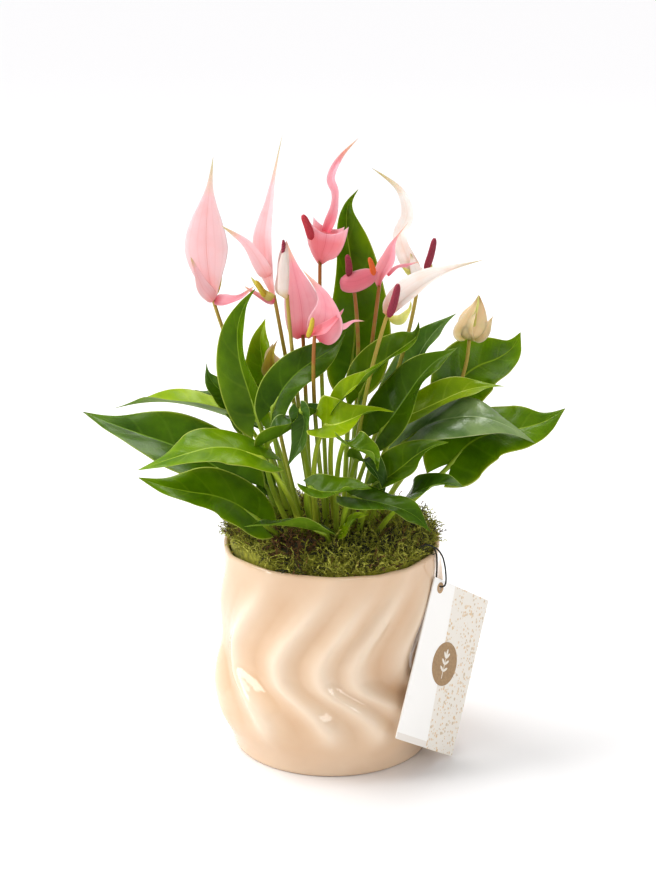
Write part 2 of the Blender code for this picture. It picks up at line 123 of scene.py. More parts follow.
def setRamp(ramp, stops):
    # stops are (place, hex colour or grey)
    while len(ramp.elements) < len(stops):
        ramp.elements.new(0.5)
    for element, (place, value) in zip(ramp.elements, stops):
        element.position = place
        element.color = linear(value) if isinstance(value, str) else (value, value, value, 1)


def dress(tree, shader, color=None, height=None, strength=0.0, distance=0.0):
    # a pattern's colour and relief, put on the shader
    if color:
        tree.links.new(color.outputs[0] if isinstance(color, bpy.types.Node) else color, shader.inputs["Base Color"])
    if strength:
        bump = addNode(tree, "Bump", {"Height": height, "Strength": strength, "Distance": distance})
        tree.links.new(bump.outputs["Normal"], shader.inputs["Normal"])


def mottledMaterial(name, scale, detail, stops, strength=0.0, distance=0.0, **values):
    # one fine noise gives the colour, and the relief where it has any
    made, tree, shader = startMaterial(name, **values)
    patch = addNode(tree, "TexNoise", {"Vector": addNode(tree, "TexCoord").outputs["Object"], "Scale": scale,
                                       "Detail": detail})
    dress(tree, shader, addNode(tree, "ValToRGB", {0: patch}, stops=stops), patch, strength, distance)
    return made


def addObject(name, data, place=None, target=(0, 0, 0)):
    made = bpy.data.objects.new(name, data)
    if place:
        turn = (Vector(target) - Vector(place)).to_track_quat("-Z", "Y").to_matrix().to_4x4()
        made.matrix_world = Matrix.Translation(place) @ turn
    bpy.context.scene.collection.objects.link(made)
    return made


def addSheet(bm, columns, rows, place, slotAt=lambda s, t: 0, uvAt=lambda s, t: ((s + 1) / 2, t),
             wrapped=False):
    # a grid laid into shape: s runs across from -1 to 1, t along from 0 to 1
    grid = bmesh.ops.create_grid(bm, x_segments=columns, y_segments=rows, size=1.0)["verts"]
    uv = bm.loops.layers.uv.verify()
    where = {v: (v.co.x, (v.co.y + 1) / 2) for v in grid}
    for face in {f: None for v in grid for f in v.link_faces}:
        middle = [sum(where[v][k] for v in face.verts) / len(face.verts) for k in (0, 1)]
        face.material_index = slotAt(*middle)
        face.smooth = True
        for loop in face.loops:
            loop[uv].uv = uvAt(*where[loop.vert])
    for v in grid:
        v.co = place(*where[v])
    if wrapped:
        bmesh.ops.remove_doubles(bm, verts=grid, dist=1e-4)


def finishPiece(bm, name, looks, stands=(), slot=None, turnOut=False):
    # the mesh in metres as a piece of the object, which stands for CAD nodes
    if turnOut:
        bmesh.ops.recalc_face_normals(bm, faces=bm.faces)
    bmesh.ops.scale(bm, vec=(0.001, 0.001, 0.001), verts=bm.verts)
    mesh = bpy.data.meshes.new(name)
    bm.to_mesh(mesh)
    bm.free()
    for look in looks:
        mesh.materials.append(look)
    piece = addObject(name, mesh)
    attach(piece, "root")
    if stands:
        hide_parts(*stands)
    return piece


def addTube(bm, line, radiusAt, sides, rows, slot=0):
    # a round stalk along a line of points, with a short blunt cap at both ends
    along = [min(max((k - 0.9) / (rows - 1.8), 0.0), 1.0) for k in range(rows + 1)]
    middles = [readCurve(line, t) for t in along]
    right, rings = Vector((1, 0, 0)), []
    for k in reversed(range(rows + 1)):
        ahead = (middles[min(k + 1, rows)] - middles[max(k - 1, 0)]).normalized()
        right = (right - ahead * right.dot(ahead)).normalized()
        rings.insert(0, (right, right.cross(ahead)))

    def place(s, t):
        k = round(t * rows)
        angle, radius = -s * math.pi, 0.0 if k in (0, rows) else radiusAt(along[k], s)
        across, face = rings[k]
        return middles[k] + (across * math.cos(angle) + face * math.sin(angle)) * radius

    addSheet(bm, sides, rows, place, lambda s, t: slot, wrapped=True)


cameraSetup = {"lens": 89.9, "place": (-0.0022, -1.25, 0.60), "target": (-0.0022, 0.0, 0.196)}
lightSetup = {  # place, aimed at, width and height in metres, watts
    "windowLight": ((-1.20, -0.35, 0.70), (0, 0, 0.12), 0.4, 0.6, 4.5),
    "frontFill": ((1.0, -1.5, 1.0), (0, 0, 0.16), 0.6, 0.6, 4.5),
    "backLight": ((0.1, 0.95, 1.45), (0, 0, 0.25), 0.8, 0.6, 8.0),
}
skyLight = {"direction": (-0.58, 0.12, 0.80), "strength": 1.6, "spread": 40.0}


cameraData = bpy.data.cameras.new("viewCamera")
cameraData.lens = cameraSetup["lens"]
cameraData.sensor_width = 36
viewCamera = addObject("viewCamera", cameraData, cameraSetup["place"], cameraSetup["target"])
bpy.context.scene.camera = viewCamera

for lightName, (place, target, wide, high, watts) in lightSetup.items():
    lamp = bpy.data.lights.new(lightName, "AREA")
    lamp.shape, lamp.size, lamp.size_y, lamp.energy = "RECTANGLE", wide, high, watts
    addObject(lightName, lamp, place, target)

sky = bpy.data.lights.new("skyLight", "SUN")
sky.energy, sky.angle = skyLight["strength"], math.radians(skyLight["spread"])
addObject("skyLight", sky, skyLight["direction"])

studio = bpy.data.worlds.new("paleStudio")
studio.use_nodes = True
tree = studio.node_tree
fill = tree.nodes["Background"]
fill.inputs["Color"].default_value = linear("FBFBFD")
fill.inputs["Strength"].default_value = 0.53
behind = addNode(tree, "Background", {"Color": linear("FBFBFC"), "Strength": 1.0})
seen = addNode(tree, "LightPath").outputs["Is Camera Ray"]
backdrop = addNode(tree, "MixShader", {0: seen, 1: fill, 2: behind})
tree.links.new(backdrop.outputs[0], tree.nodes["World Output"].inputs["Surface"])
bpy.context.scene.world = studio
bpy.context.scene.view_settings.view_transform = "Standard"
bpy.context.scene.view_settings.look = "Medium High Contrast"

paperFloor, _, _ = startMaterial("paperSweep", color=linear("F4F3F3"), roughness=0.8)
bm = bmesh.new()
bmesh.ops.create_grid(bm, x_segments=8, y_segments=8, size=4.0)
floorMesh = bpy.data.meshes.new("studioFloor")
bm.to_mesh(floorMesh)
bm.free()
floorMesh.materials.append(paperFloor)
addObject("studioFloor", floorMesh)
print("camera, light and floor")


# The label cord lies along the route that its solid takes.
labelCordSize = {
    "radius": 0.0005,
    "points": 52,
    "route": [
        (48, -35, 134), (51, -35, 137.5), (55, -34.5, 139.5), (59, -34, 139), (63, -33.5, 136.5),
        (66, -33, 132), (67.6, -32, 126), (68.4, -31, 120), (68.6, -30, 114.5), (67.8, -29.4, 111.6),
        (65.6, -28.2, 110.4), (63.6, -27, 111.8), (63.0, -26.6, 115), (63.2, -26.4, 120),
        (63.2, -26.4, 126), (62.6, -26.2, 131.6), (60, -25.6, 135.6), (56, -25, 137), (51, -24, 136.4),
    ],
}

# Waxed cotton: tightly laid thread under wax, almost black, with a dull shine.
waxedCotton, tree, shader = startMaterial("waxedCottonCord", color=linear("20251F"), roughness=0.55)
place = addNode(tree, "TexCoord").outputs["Object"]
lay = addNode(tree, "TexWave", {"Vector": place, "Scale": 900.0, "Distortion": 0.6},
              bands_direction="DIAGONAL")  # a thread about every millimetre of cord
dress(tree, shader, height=lay.outputs["Fac"], strength=0.5, distance=0.0001)

cordRoute = [Vector(p) / 1000 for p in labelCordSize["route"]]
cordCurve = bpy.data.curves.new("labelCord", "CURVE")
cordCurve.dimensions = "3D"
cordCurve.bevel_depth = labelCordSize["radius"]
cordCurve.bevel_resolution = 3
cordCurve.use_fill_caps = True
cordCurve.materials.append(waxedCotton)
cordSpline = cordCurve.splines.new("POLY")
cordSpline.points.add(labelCordSize["points"] - 1)
count = labelCordSize["points"]
cordPath = [readCurve(cordRoute, k / (count - 1)) for k in range(count)]
for point, here in zip(cordSpline.points, cordPath):
    point.co = (*here, 1)
labelCord = addObject("labelCord", cordCurve)
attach(labelCord, "root")
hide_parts("tag_cord")
tuple(cordPath[0])
sum((b - a).length for a, b in zip(cordPath, cordPath[1:]))
print("label cord")


potShape = {
    "rim": 66.3, "waist": 65.0, "belly": 71.5, "foot": 61.0, "elbow": 66.0,  # radii, and where flutes turn
    "wall": 5.6, "lip": 3.2, "floor": 7.0, "inset": 6.0,
    "depth": 5.2, "ridge": 9.0,  # of a flute, crest to valley, and how wide its crest is, in degrees
    # azimuths of the crests at the rim, unevenly set
    "crests": (-155, -122, -89, -66, -48, -20, 12, 42, 72, 103, 134, 166),
    # how far a flute has drifted round at evenly spaced heights from the base to the rim
    "drift": (4, 2, 0, -3, -12, -27, -30, -26, -19, -12, -5, 0),
    "around": 288, "step": 1.5,
}

# Glazed earthenware: slip cast, with a thick glossy peach glaze; its colour is paler on the flutes' crests and darker
# in their valleys, painted light and shade that follows the flutes.
glazedEarthenware, tree, shader = startMaterial("glazedEarthenware", roughness=0.07, ior=1.5,
                                                glow=0.06, glowReach=0.004, glowColor=(1.0, 0.6, 0.35))
place = addNode(tree, "TexCoord").outputs["Object"]
# fold is high on crests, low in valleys and raised at the foot: it carries the glaze's painted light and shade
fold = addNode(tree, "Attribute", attribute_name="fold").outputs["Fac"]
cloud = addNode(tree, "TexNoise", {"Vector": place, "Scale": 28.0, "Detail": 3.0})
shift = addNode(tree, "Math", {0: cloud, 1: 0.5}, operation="SUBTRACT")
depth = addNode(tree, "Math", {0: shift, 1: 0.5, 2: fold}, operation="MULTIPLY_ADD")
color = addNode(tree, "ValToRGB", {0: depth}, stops=((0.0, "D0AA86"), (0.42, "DFC2A4"), (1.0, "EBD6BE")))
orangePeel = addNode(tree, "TexNoise", {"Vector": place, "Scale": 120.0, "Detail": 1.0})
dress(tree, shader, color, orangePeel, 0.12, 0.0006)



def potWall(height):
    # middle radius of the outside, before the flutes
    p = potShape
    if height > p["elbow"]:
        return blend(p["waist"], p["rim"], ease((height - p["elbow"]) / (potTall - p["elbow"])))
    bowl = blend(p["belly"], p["waist"], ease((height / p["elbow"] - 0.62) / 0.38))
    return bowl + (p["foot"] - p["belly"]) * (1 - ease(height / potTall / 0.28)) ** 1.6


def fluteAt(angle, height):
    # how far a flute lifts the wall here, from -0.35 in a valley to 0.65 on a crest
    drift = math.radians(readCurve(potShape["drift"], height / potTall))
    turn = math.degrees(angle - drift)
    away = min(abs((turn - c + 180) % 360 - 180) for c in potShape["crests"])
    return 0.55 * bell(away, potShape["ridge"] * 0.62) + 0.45 * bell(away, potShape["ridge"] * 1.7) - 0.35


def fluteDepth(height):
    below = ease((height / potTall - 0.10) / 0.20)
    above = blend(1.0, 0.28, ease((height / potTall - 0.70) / 0.28))
    return potShape["depth"] * below * above


def makePot():
    p = potShape
    rim, foot, floor, top = p["rim"], p["foot"], p["floor"], potTall
    inner = min(rim, p["waist"]) - p["wall"]
    count = int((top - 4) / p["step"])
    heights = [2 + (top - 3.6) * k / count for k in range(count + 1)]
    base = [(0, 1.6), (foot - 9, 1.6), (foot - 7.6, 0.3), (foot - 7, 0), (foot - 1.6, 0), (foot - 0.4, 0.6)]
    outer = [(potWall(height), height) for height in heights]
    lip = [(rim - 0.3, top - 0.9), (rim - 0.9, top - 0.25), (rim - 1.7, top), (rim - 2.5, top - 0.3),
           (rim - p["lip"], top - 1.2), (rim - p["lip"] - 1, top - 4)]
    inside = [(inner, top - 14), (inner, 60), (inner, floor + 8), (inner - p["inset"], floor), (0, floor)]
    bm = bmesh.new()
    profile = [bm.verts.new((r, 0, z)) for r, z in base + outer + lip + inside]
    edges = [bm.edges.new(pair) for pair in zip(profile, profile[1:])]
    bmesh.ops.spin(bm, geom=profile + edges, axis=upward, cent=(0, 0, 0), angle=math.tau,
                   steps=p["around"], use_merge=True)
    bmesh.ops.remove_doubles(bm, verts=bm.verts, dist=1e-4)
    # each point's fold value: higher on a flute's crest, lower in its valley, for the glaze's painted light and shade
    layer = bm.verts.layers.float.new("fold")
    for v in bm.verts:
        radius, angle = math.hypot(v.co.x, v.co.y), math.atan2(v.co.y, v.co.x)
        outside = ease((radius - inner - 1.0) / 2.0) * ease((v.co.z - 1.5) / 4)
        lift = fluteAt(angle, v.co.z)
        push = 1 + lift * fluteDepth(v.co.z) * outside / max(radius, 1)
        v.co.x, v.co.y = v.co.x * push, v.co.y * push
        v.co.z += 0.5 * math.sin(3 * angle + 1) * ease((v.co.z / potTall - 0.8) / 0.2)  # the hand-trimmed lip
        thin = 0.3 * (1 - ease(v.co.z / potTall / 0.16))  # painted light: the foot is made paler, standing in for the light the floor bounces up
        v[layer] = 0.4 + lift * ease(fluteDepth(v.co.z) / p["depth"]) * outside + thin
    for f in bm.faces:
        f.smooth = True
    finishPiece(bm, "coverPot", [glazedEarthenware], ["cover_pot"], "peach_glaze", turnOut=True)


makePot()
print("cover pot")


# Potting peat: fibrous, nearly black when damp, with paler wood fibre.
pottingPeat = mottledMaterial("pottingPeat", 260.0, 6.0, [(0.3, "1B120B"), (0.6, "3A2818"), (0.78, "6B5030")],
                              1.0, 0.002, roughness=0.95)
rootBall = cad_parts["root_ball"]
if not rootBall.data.materials:
    rootBall.data.materials.append(pottingPeat)
for materialSlot in rootBall.material_slots:
    materialSlot.material = pottingPeat


mossBed = {
    "rim": 62.3, "edge": 131.5, "crest": 140.5, "crestAt": 36.0, "middle": 136.0,
    "fronds": 2450, "edgeFronds": 1400, "seed": 11, "columns": 96, "rows": 30,
    "leftRise": 7.5, "rightRise": 2.0,  # how much higher the bed stands at its sides
    "inside": 61.5, "brim": 6.0,  # where it must stay below the lip, and how wide its lying edge is
}


def mossMaterial(name, dark, light):
    # Feather moss: matted dry fronds, olive where alive, straw and brown where old.
    return mottledMaterial(name, 420.0, 3.0, [(0.3, dark), (0.7, light)], 0.6, 0.0008, roughness=0.85, sheen=0.15)


mossLooks = [
    mossMaterial("oliveMoss", "6A6C14", "A6A434"),
    mossMaterial("brightMoss", "9AA030", "D6D06A"),
    mossMaterial("witheredMoss", "4A2E16", "8E6636"),
    # shadedMoss: a near-black copy of the moss, painted shade for the pits between fronds
    mossMaterial("shadedMoss", "22200A", "4C4A14"),
]


def mossHeight(x, y):
    m = mossBed
    radius = math.hypot(x, y)
    if radius < m["crestAt"]:
        height = blend(m["middle"], m["crest"], ease(radius / m["crestAt"]))
    else:
        height = blend(m["crest"], m["edge"], ((radius - m["crestAt"]) / (m["rim"] - m["crestAt"])) ** 1.7)
    height += m["leftRise"] * ease((-x - 22) / 34) + m["rightRise"] * ease((x - 25) / 30)
    lumps = noise.noise(Vector((x, y, 0)) * 0.055) * 3.4 + noise.noise(Vector((x, y, 40)) * 0.15) * 2.2
    return height + lumps * (1 - 0.5 * ease(radius / m["rim"]))


def makeFrond(kind, seed):
    # a thin bent stem with short leaflets both ways, about 14 mm long
    rng = random.Random(seed)
    bm = bmesh.new()

    def spike(start, end, radius):
        way = end - start
        turn = way.to_track_quat("Z", "Y").to_matrix().to_4x4()
        bmesh.ops.create_cone(bm, cap_ends=True, cap_tris=False, segments=3, radius1=radius, radius2=0,
                              depth=way.length, matrix=Matrix.Translation((start + end) / 2) @ turn)

    here, way = Vector((0, 0, 0)), Vector((0.25, 0, 1)).normalized()
    for k in range(4):
        there = here + way * rng.uniform(2.6, 3.8)
        spike(here, there, 0.60 - 0.08 * k)
        for side in (-1, 1):
            root = here.lerp(there, rng.uniform(0.3, 0.7))
            out = (way * 0.8 + Vector((rng.uniform(-0.3, 0.3), side, rng.uniform(-0.2, 0.3)))).normalized()
            spike(root, root + out * rng.uniform(1.6, 3.0), 0.38)
        here = there
        way = (way + Vector((rng.uniform(0.1, 0.5), rng.uniform(-0.3, 0.3), -0.15))).normalized()
    for f in bm.faces:
        f.material_index = kind
    mesh = bpy.data.meshes.new("frond")
    bm.to_mesh(mesh)
    bm.free()
    return mesh


def makeMoss():
    m = mossBed
    rng = random.Random(m["seed"])
    bm = bmesh.new()

    def place(s, t):
        angle = s * math.pi
        if t > 0.8:  # down the side and under
            drop = (t - 0.8) / 0.2
            radius = m["rim"] if drop < 0.6 else m["rim"] * (1 - (drop - 0.6) / 0.4)
            height = blend(mossHeight(*around(m["rim"], angle)), soilTop + 0.6, min(drop / 0.6, 1))
            return Vector((*around(radius, angle), height))
        x, y = around(m["rim"] * t / 0.8, angle)
        return Vector((x, y, mossHeight(x, y)))

    # inside its outer ring the sheet under the fronds wears painted shade
    addSheet(bm, m["columns"], m["rows"], place, lambda s, t: 0 if t > 0.65 else 3, wrapped=True)
    bmesh.ops.recalc_face_normals(bm, faces=bm.faces)
    fronds = {kind: [makeFrond(kind, 20 * kind + k) for k in range(5)] for kind in range(4)}
    for k in range(m["fronds"] + m["edgeFronds"]):
        inward = m["rim"] * math.sqrt(rng.uniform(0.0, 1.0))
        radius = inward if k < m["fronds"] else m["rim"] - rng.uniform(-0.4, 4.5)
        angle = rng.uniform(0, math.tau)
        x, y = around(radius, angle)
        withered = math.hypot((x + 24) / 1.5, y + 38) < 12 and rng.random() < 0.8
        patch = noise.noise(Vector((x, y, 9)) * 0.06)
        kind = 2 if withered else rng.choices((0, 1, 2, 3), (0.42, 0.34 + patch * 0.5, 0.09, 0.15))[0]
        lean = rng.gauss(0, 0.5) + 0.95
        heading = rng.uniform(0, math.tau)
        atEdge = radius > m["rim"] - m["brim"]
        if atEdge:  # fronds at the edge lie along it or over it
            heading = angle + rng.choice((-1, 1)) * rng.uniform(0.9, 1.9)
        size = rng.uniform(0.6, 1.15) * (0.85 if atEdge else 1)
        turn = Matrix.Rotation(heading, 4, "Z") @ Matrix.Rotation(lean, 4, "Y")
        turn = turn @ Matrix.Rotation(rng.uniform(0, 6), 4, "Z")
        matrix = Matrix.Translation((x, y, mossHeight(x, y) - 1.2)) @ turn @ Matrix.Scale(size, 4)
        frond = rng.choice(fronds[kind])
        frond.transform(matrix)
        bm.from_mesh(frond)
        frond.transform(matrix.inverted())
    for v in bm.verts:  # below the pot's lip the moss stays inside the wall
        radius = math.hypot(v.co.x, v.co.y)
        if radius > m["inside"] and v.co.z < potTall + 1.0:
            v.co.x, v.co.y = v.co.x * m["inside"] / radius, v.co.y * m["inside"] / radius
    finishPiece(bm, "mossBed", mossLooks, ["moss_mat"], "moss")


mossRoots = {
    "clump": (53, -5, 137), "spread": 7.0, "roots": 46, "long": (6, 15), "radius": 0.42,
    "tuft": (38, -10, 138), "blades": 26,
}

# Orchid bark and dead root: nearly black when damp, dry and brown where it sticks out.
deadRoot = mossMaterial("deadRoot", "1C120C", "4A3222")


def makeRoots():
    r = mossRoots
    rng = random.Random(5)
    bm = bmesh.new()
    for middle, count, spread in ((r["clump"], r["roots"], r["spread"]), (r["tuft"], r["blades"], 4.0)):
        for k in range(count):
            apart = Vector((rng.gauss(0, spread * 0.45), rng.gauss(0, spread * 0.45), rng.uniform(-5, 1)))
            way = Vector((rng.gauss(0, 1), rng.gauss(0, 1), rng.uniform(0.3, 1.8))).normalized()
            line = [Vector(middle) + apart]
            for _ in range(4):
                way = (way + Vector((rng.gauss(0, 0.5), rng.gauss(0, 0.5), -0.25))).normalized()
                line.append(line[-1] + way * rng.uniform(*r["long"]) / 4)
            addTube(bm, line, lambda t, s: r["radius"] * (1.3 - 0.9 * t), 6, 8)
    finishPiece(bm, "mossRoots", [deadRoot], slot="moss")


makeMoss()
makeRoots()
print("moss")


leafForm = {
    "outline": (0.30, 0.78, 0.97, 1.0, 0.96, 0.87, 0.74, 0.56, 0.34, 0.13, 0.01),
    "lobe": 0.17, "fuller": 1.06, "skin": 0.26, "veins": 10, "columns": 22, "rows": 52,
    "petiole": 1.6, "knuckle": 0.35,  # radius of the stalk, and how much it swells below the blade
}

leafRows = {  # where the blade meets its petiole, its tip, its width, the way it faces, and what is its own
    "01": ((-58, -10, 58), (-152, 25, 90), 44, (0, -0.45, 0.9), dict(look="dark", rise=1.0, fold=0.35, bow=5,
           curl=(0.1, -0.2, -0.5))),
    "02": ((-53, 25, 84), (-136, 45, 86), 36, (0, 0.15, 1), dict(look="young", bow=8, sway=-3)),
    "03": ((-40, -47, 84), (-111, -68, 84), 38, (0, -0.25, 1), dict(look="lush", bow=10, fold=0.2,
           curl=(-0.1, -0.35, -0.3), sway=3)),
    "04": ((-44, -37, 43), (-112, -55, 75), 38, (0, -0.5, 0.9), dict(rise=3.2, fold=0.3, curl=(0.0, -0.3, -0.3),
           sway=3, bow=5)),
    "05": ((-4, -43, 37), (-51, -61, 47), 24, (0, 0.3, 1), dict(look="dark", rise=2)),
    "06": ((-51, 42, 76), (-86, 66, 92), 26, (-0.2, -0.2, 1), dict(look="dark", rise=1)),
    "07": ((-45, 2, 95), (-45, 8, 172), 33, (-0.6, -0.75, 0.1), dict(rise=0.9, via=[(-50, 2, 111), (-55, 4, 129),
           (-56, 6, 147), (-52, 8, 161)], fold=0.5, curl=(0.2, 0.0, 0.3),
           outline=(0.4, 0.86, 1.0, 0.96, 0.84, 0.7, 0.55, 0.38, 0.22, 0.09, 0.01))),
    "08": ((-41, 22, 101), (-40, 25, 149), 24, (-0.3, -0.9, 0.1), dict(look="young",
           via=[(-40, 21, 112), (-42, 21, 124), (-43, 22, 137)], fold=0.5)),
    "09": ((-35, -18, 105), (9, -2, 149), 25, (-0.3, -0.85, 0.4), dict(look="dark", via=[(-29, -17, 117),
           (-20, -15, 127), (-9, -11, 134), (2, -6, 140)], fold=0.35, curl=(0.3, 0.0, 0.1), wave=2.2)),
    "10": ((-38, -34, 90), (0, -30, 113), 24, (-0.4, 0.1, 0.8), dict(bow=0, seatAt=(-38, -14, 90), look="grey",
           wave=3.2, waves=2.2, fold=0.6)),
    "11": ((12, 38, 115), (16, 50, 223), 41, (0.1, -1, 0.2), dict(look="green", fold=0.5, via=[(14, 39, 134),
           (14, 40, 155), (12, 42, 178), (9, 46, 200), (10, 48, 214)], share=(0.85, 1.1),
           outline=(0.4, 0.85, 1.0, 0.97, 0.87, 0.74, 0.58, 0.39, 0.2, 0.07, 0.01), curl=(0.1, 0.1, 0.5))),
    "12": ((17, -6, 110), (52, 7, 152), 26, (-0.5, -0.5, 0.7), dict(fold=0.6, wave=2.2, via=[(22, -5, 122),
           (32, -2, 131), (43, 2, 138), (51, 5, 144)])),
    "13": ((37, 16, 100), (76, 34, 150), 28, (-0.7, -0.55, 0.5), dict(look="grey", fold=0.4, bow=5)),
    "14": ((29, -18, 91), (74, -12, 141), 34, (-0.6, -0.6, 0.6), dict(look="dark", fold=0.4, bow=6, wave=2.4)),
    "15": ((75, 25, 101), (116, 45, 135), 38, (0.1, -0.75, 0.6), dict(rise=1, bow=3, sway=-4, fold=0.3)),
    "16": ((42, -4, 95), (104, 6, 112), 28, (-0.1, -0.3, 1), dict(look="young", rise=0.8, seatAt=(42, 8, 95), bow=5,
           fold=0.35)),
    "17": ((42, -8, 80), (120, -24, 86), 40, (0, -0.35, 1), dict(look="sheen", rise=1, seatAt=(30, -12, 95),
           via=[(56, -12, 93), (72, -17, 99.5), (88, -21, 101), (104, -23, 96)], fold=0.12,
           curl=(-0.1, -0.35, -0.4))),
    "18": ((71, -15, 70), (140, 0, 100), 44, (0.1, -0.5, 0.9), dict(rise=1.4, fold=0.2, curl=(0.0, -0.4, -0.2), bow=6,
           sway=-5)),
    "19": ((26, -37, 65), (68, -44, 93), 26, (-0.1, -0.5, 0.95), dict(rise=0.8, fold=0.4)),
    "20": ((42, -40, 56), (76, -63, 72), 24, (0, -0.3, 1), dict(look="dark", rise=2, bow=5)),
    "21": ((12, -55, 63), (57, -79, 50), 26, (0, -0.15, 1), dict(look="dark", rise=1, bow=6, fold=0.25,
           curl=(0.0, -0.3, -0.5), wave=2.2)),
    "22": ((-13, -55, 69), (23, -71, 74), 21, (0, -0.3, 1), dict(rise=1, fold=0.5, wave=2.2, bow=-2)),
    "23": ((-4, -41, 102), (36, -46, 112), 34, (0, -0.55, 0.8), dict(look="young", fold=0.6, seatAt=(-14, -20, 101),
           wave=2.4, curl=(0.2, 0.1, 0.3), bow=3,
           outline=(0.45, 0.95, 1.0, 0.85, 0.6, 0.4, 0.27, 0.18, 0.11, 0.05, 0.01))),
    "24": ((7, -61.5, 98.5), (26, -83.5, 88.5), 20, (0.2, -0.2, 0.9), dict(rise=0.8, fold=0.7, wave=2.4, bow=4)),
    # small leaves low in the crown
    "25": ((-59, 18, 92), (-76, 26, 121), 14, (-0.5, -0.7, 0.4), dict(look="dark", fold=0.4)),
    "26": ((3, -36, 112), (30, -38, 141), 15, (-0.5, -0.4, 0.7), dict(look="young", fold=0.7, seatAt=(3, 10, 100),
           via=[(10, -37, 122), (20, -38, 130)], wave=1.5)),
    "27": ((-18, -38, 110), (-26, -46, 78), 15, (-0.5, -0.8, 0.2), dict(look="grey", fold=0.5, via=[(-16, -40, 104),
           (-19, -43, 92)], seatAt=(-18, -16, 100))),
    "28": ((6, -37, 34), (22, -44, 48), 9, (-0.5, -0.5, 0.8), dict(look="young", fold=0.5, petiole=1.0)),
    "29": ((-40, 10, 47), (-66, 18, 61), 15, (-0.2, -0.3, 0.9), dict(look="dark", fold=0.4)),
    "30": ((15, -30, 78), (30, -54, 60), 17, (0.5, -0.4, 0.7), dict(look="grey", fold=0.6, wave=2.4,
           via=[(20, -38, 79), (27, -46, 72)])),
}

leafColors = {  # blade dark and light, veins, thin pale margin
    "dark": ("324C08", "4E6B0A", "6E8C2A", "A8BC50"),
    "green": ("446006", "648206", "8AA22C", "B6C456"),
    "lush": ("56780A", "7C9A0C", "A0B83A", "C4D060"),
    "young": ("6F8C06", "93AA10", "BACB48", "CCD66A"),
    # grey: colours with painted sky reflection, greyed as a glossy blade looks where it mirrors the sky
    "grey": ("385619", "55722C", "7E9A50", "AFC272"),
    "sheen": ("57743A", "8BA068", "9DB27C", "BCCB88"),  # a broad blade with painted sky reflection: its colours are made lighter as if it mirrored the sky
}


def leafMaterial(kind, dark, light, vein, margin, roughness=0.24):
    # Living leaf: a waxy cuticle over green tissue, with pale ribs sunk in it and a thin pale margin.
    made, tree, shader = startMaterial(kind + "Leaf", roughness=roughness, ior=1.45, glow=0.10, glowReach=0.003,
                                       glowColor=(0.6, 1.0, 0.1), specular=0.55 if kind == "sheen" else 0.2)
    coordinates = addNode(tree, "TexCoord")
    apart = addNode(tree, "SeparateXYZ", {"Vector": coordinates.outputs["UV"]})
    side = apart
    for value, operation in ((0.5, "SUBTRACT"), (0.0, "ABSOLUTE"), (2.0, "MULTIPLY")):
        side = addNode(tree, "Math", {0: side, 1: value}, operation=operation)
    # side veins leave the midrib and bend towards the tip
    bend = addNode(tree, "Math", {0: side, 1: 1.3}, operation="POWER")
    ribs = addNode(tree, "Math", {0: bend, 1: -0.22, 2: apart.outputs["Y"]}, operation="MULTIPLY_ADD")
    for value, operation in ((float(leafForm["veins"]), "MULTIPLY"), (1.0, "PINGPONG")):
        ribs = addNode(tree, "Math", {0: ribs, 1: value}, operation=operation)
    ribs = addNode(tree, "ValToRGB", {0: ribs}, stops=((0.0, 0.30), (0.16, 0.0)))
    fade = addNode(tree, "ValToRGB", {0: side}, stops=((0.0, 0.8), (0.75, 0.35), (0.95, 0.0)))
    ribs = addNode(tree, "Math", {0: ribs, 1: fade}, operation="MULTIPLY")
    spine = addNode(tree, "ValToRGB", {0: side}, stops=((0.0, 1.0), (0.035, 0.8), (0.075, 0.0)))
    edge = addNode(tree, "ValToRGB", {0: side}, stops=((0.90, 0.0), (0.975, 0.9)))
    place = coordinates.outputs["Object"]
    cloud = addNode(tree, "TexNoise", {"Vector": place, "Scale": 55.0, "Detail": 3.0})  # patches about 15 mm wide
    color = addNode(tree, "ValToRGB", {0: cloud}, stops=((0.3, dark), (0.7, light)))
    for amount, tint in ((ribs, vein), (spine, vein), (edge, margin)):
        color = addNode(tree, "Mix", {0: amount, 6: color, 7: linear(tint)}, data_type="RGBA").outputs[2]
    pores = addNode(tree, "TexNoise", {"Vector": place, "Scale": 900.0})
    height = addNode(tree, "Math", {0: ribs, 1: -1.0, 2: pores}, operation="MULTIPLY_ADD")
    dress(tree, shader, color, height, 0.30, 0.0005)
    return made


leafLooks = {kind: leafMaterial(kind, *tints) for kind, tints in leafColors.items()}
leafUnder = leafMaterial("underside", "557214", "718E22", "9AB048", "B8C862", 0.5)


def stalkMaterial(name, low, high, turnAt=0.3):
    # Living stalk: smooth skin, paler or redder towards the blade.
    made, tree, shader = startMaterial(name, roughness=0.35, ior=1.45, glow=0.05, glowReach=0.002)
    coordinates = addNode(tree, "TexCoord")
    apart = addNode(tree, "SeparateXYZ", {"Vector": coordinates.outputs["UV"]})
    streak = addNode(tree, "TexNoise", {"Vector": coordinates.outputs["Object"], "Scale": 180.0, "Detail": 2.0})
    mixed = addNode(tree, "Math", {0: streak, 1: 0.35, 2: apart.outputs["Y"]}, operation="MULTIPLY_ADD")
    stops = ((turnAt, low), (min(turnAt + 0.5, 1.0), high))
    dress(tree, shader, addNode(tree, "ValToRGB", {0: mixed}, stops=stops))
    return made


greenPetiole = stalkMaterial("greenPetiole", "AEBA44", "93AA30")
brightPetiole = stalkMaterial("brightPetiole", "C4C850", "B0C23C")

stalkSeats = {"turn": 137.508, "spacing": 2.9, "count": 64}  # a golden-angle spiral on the soil
takenSeats = set()


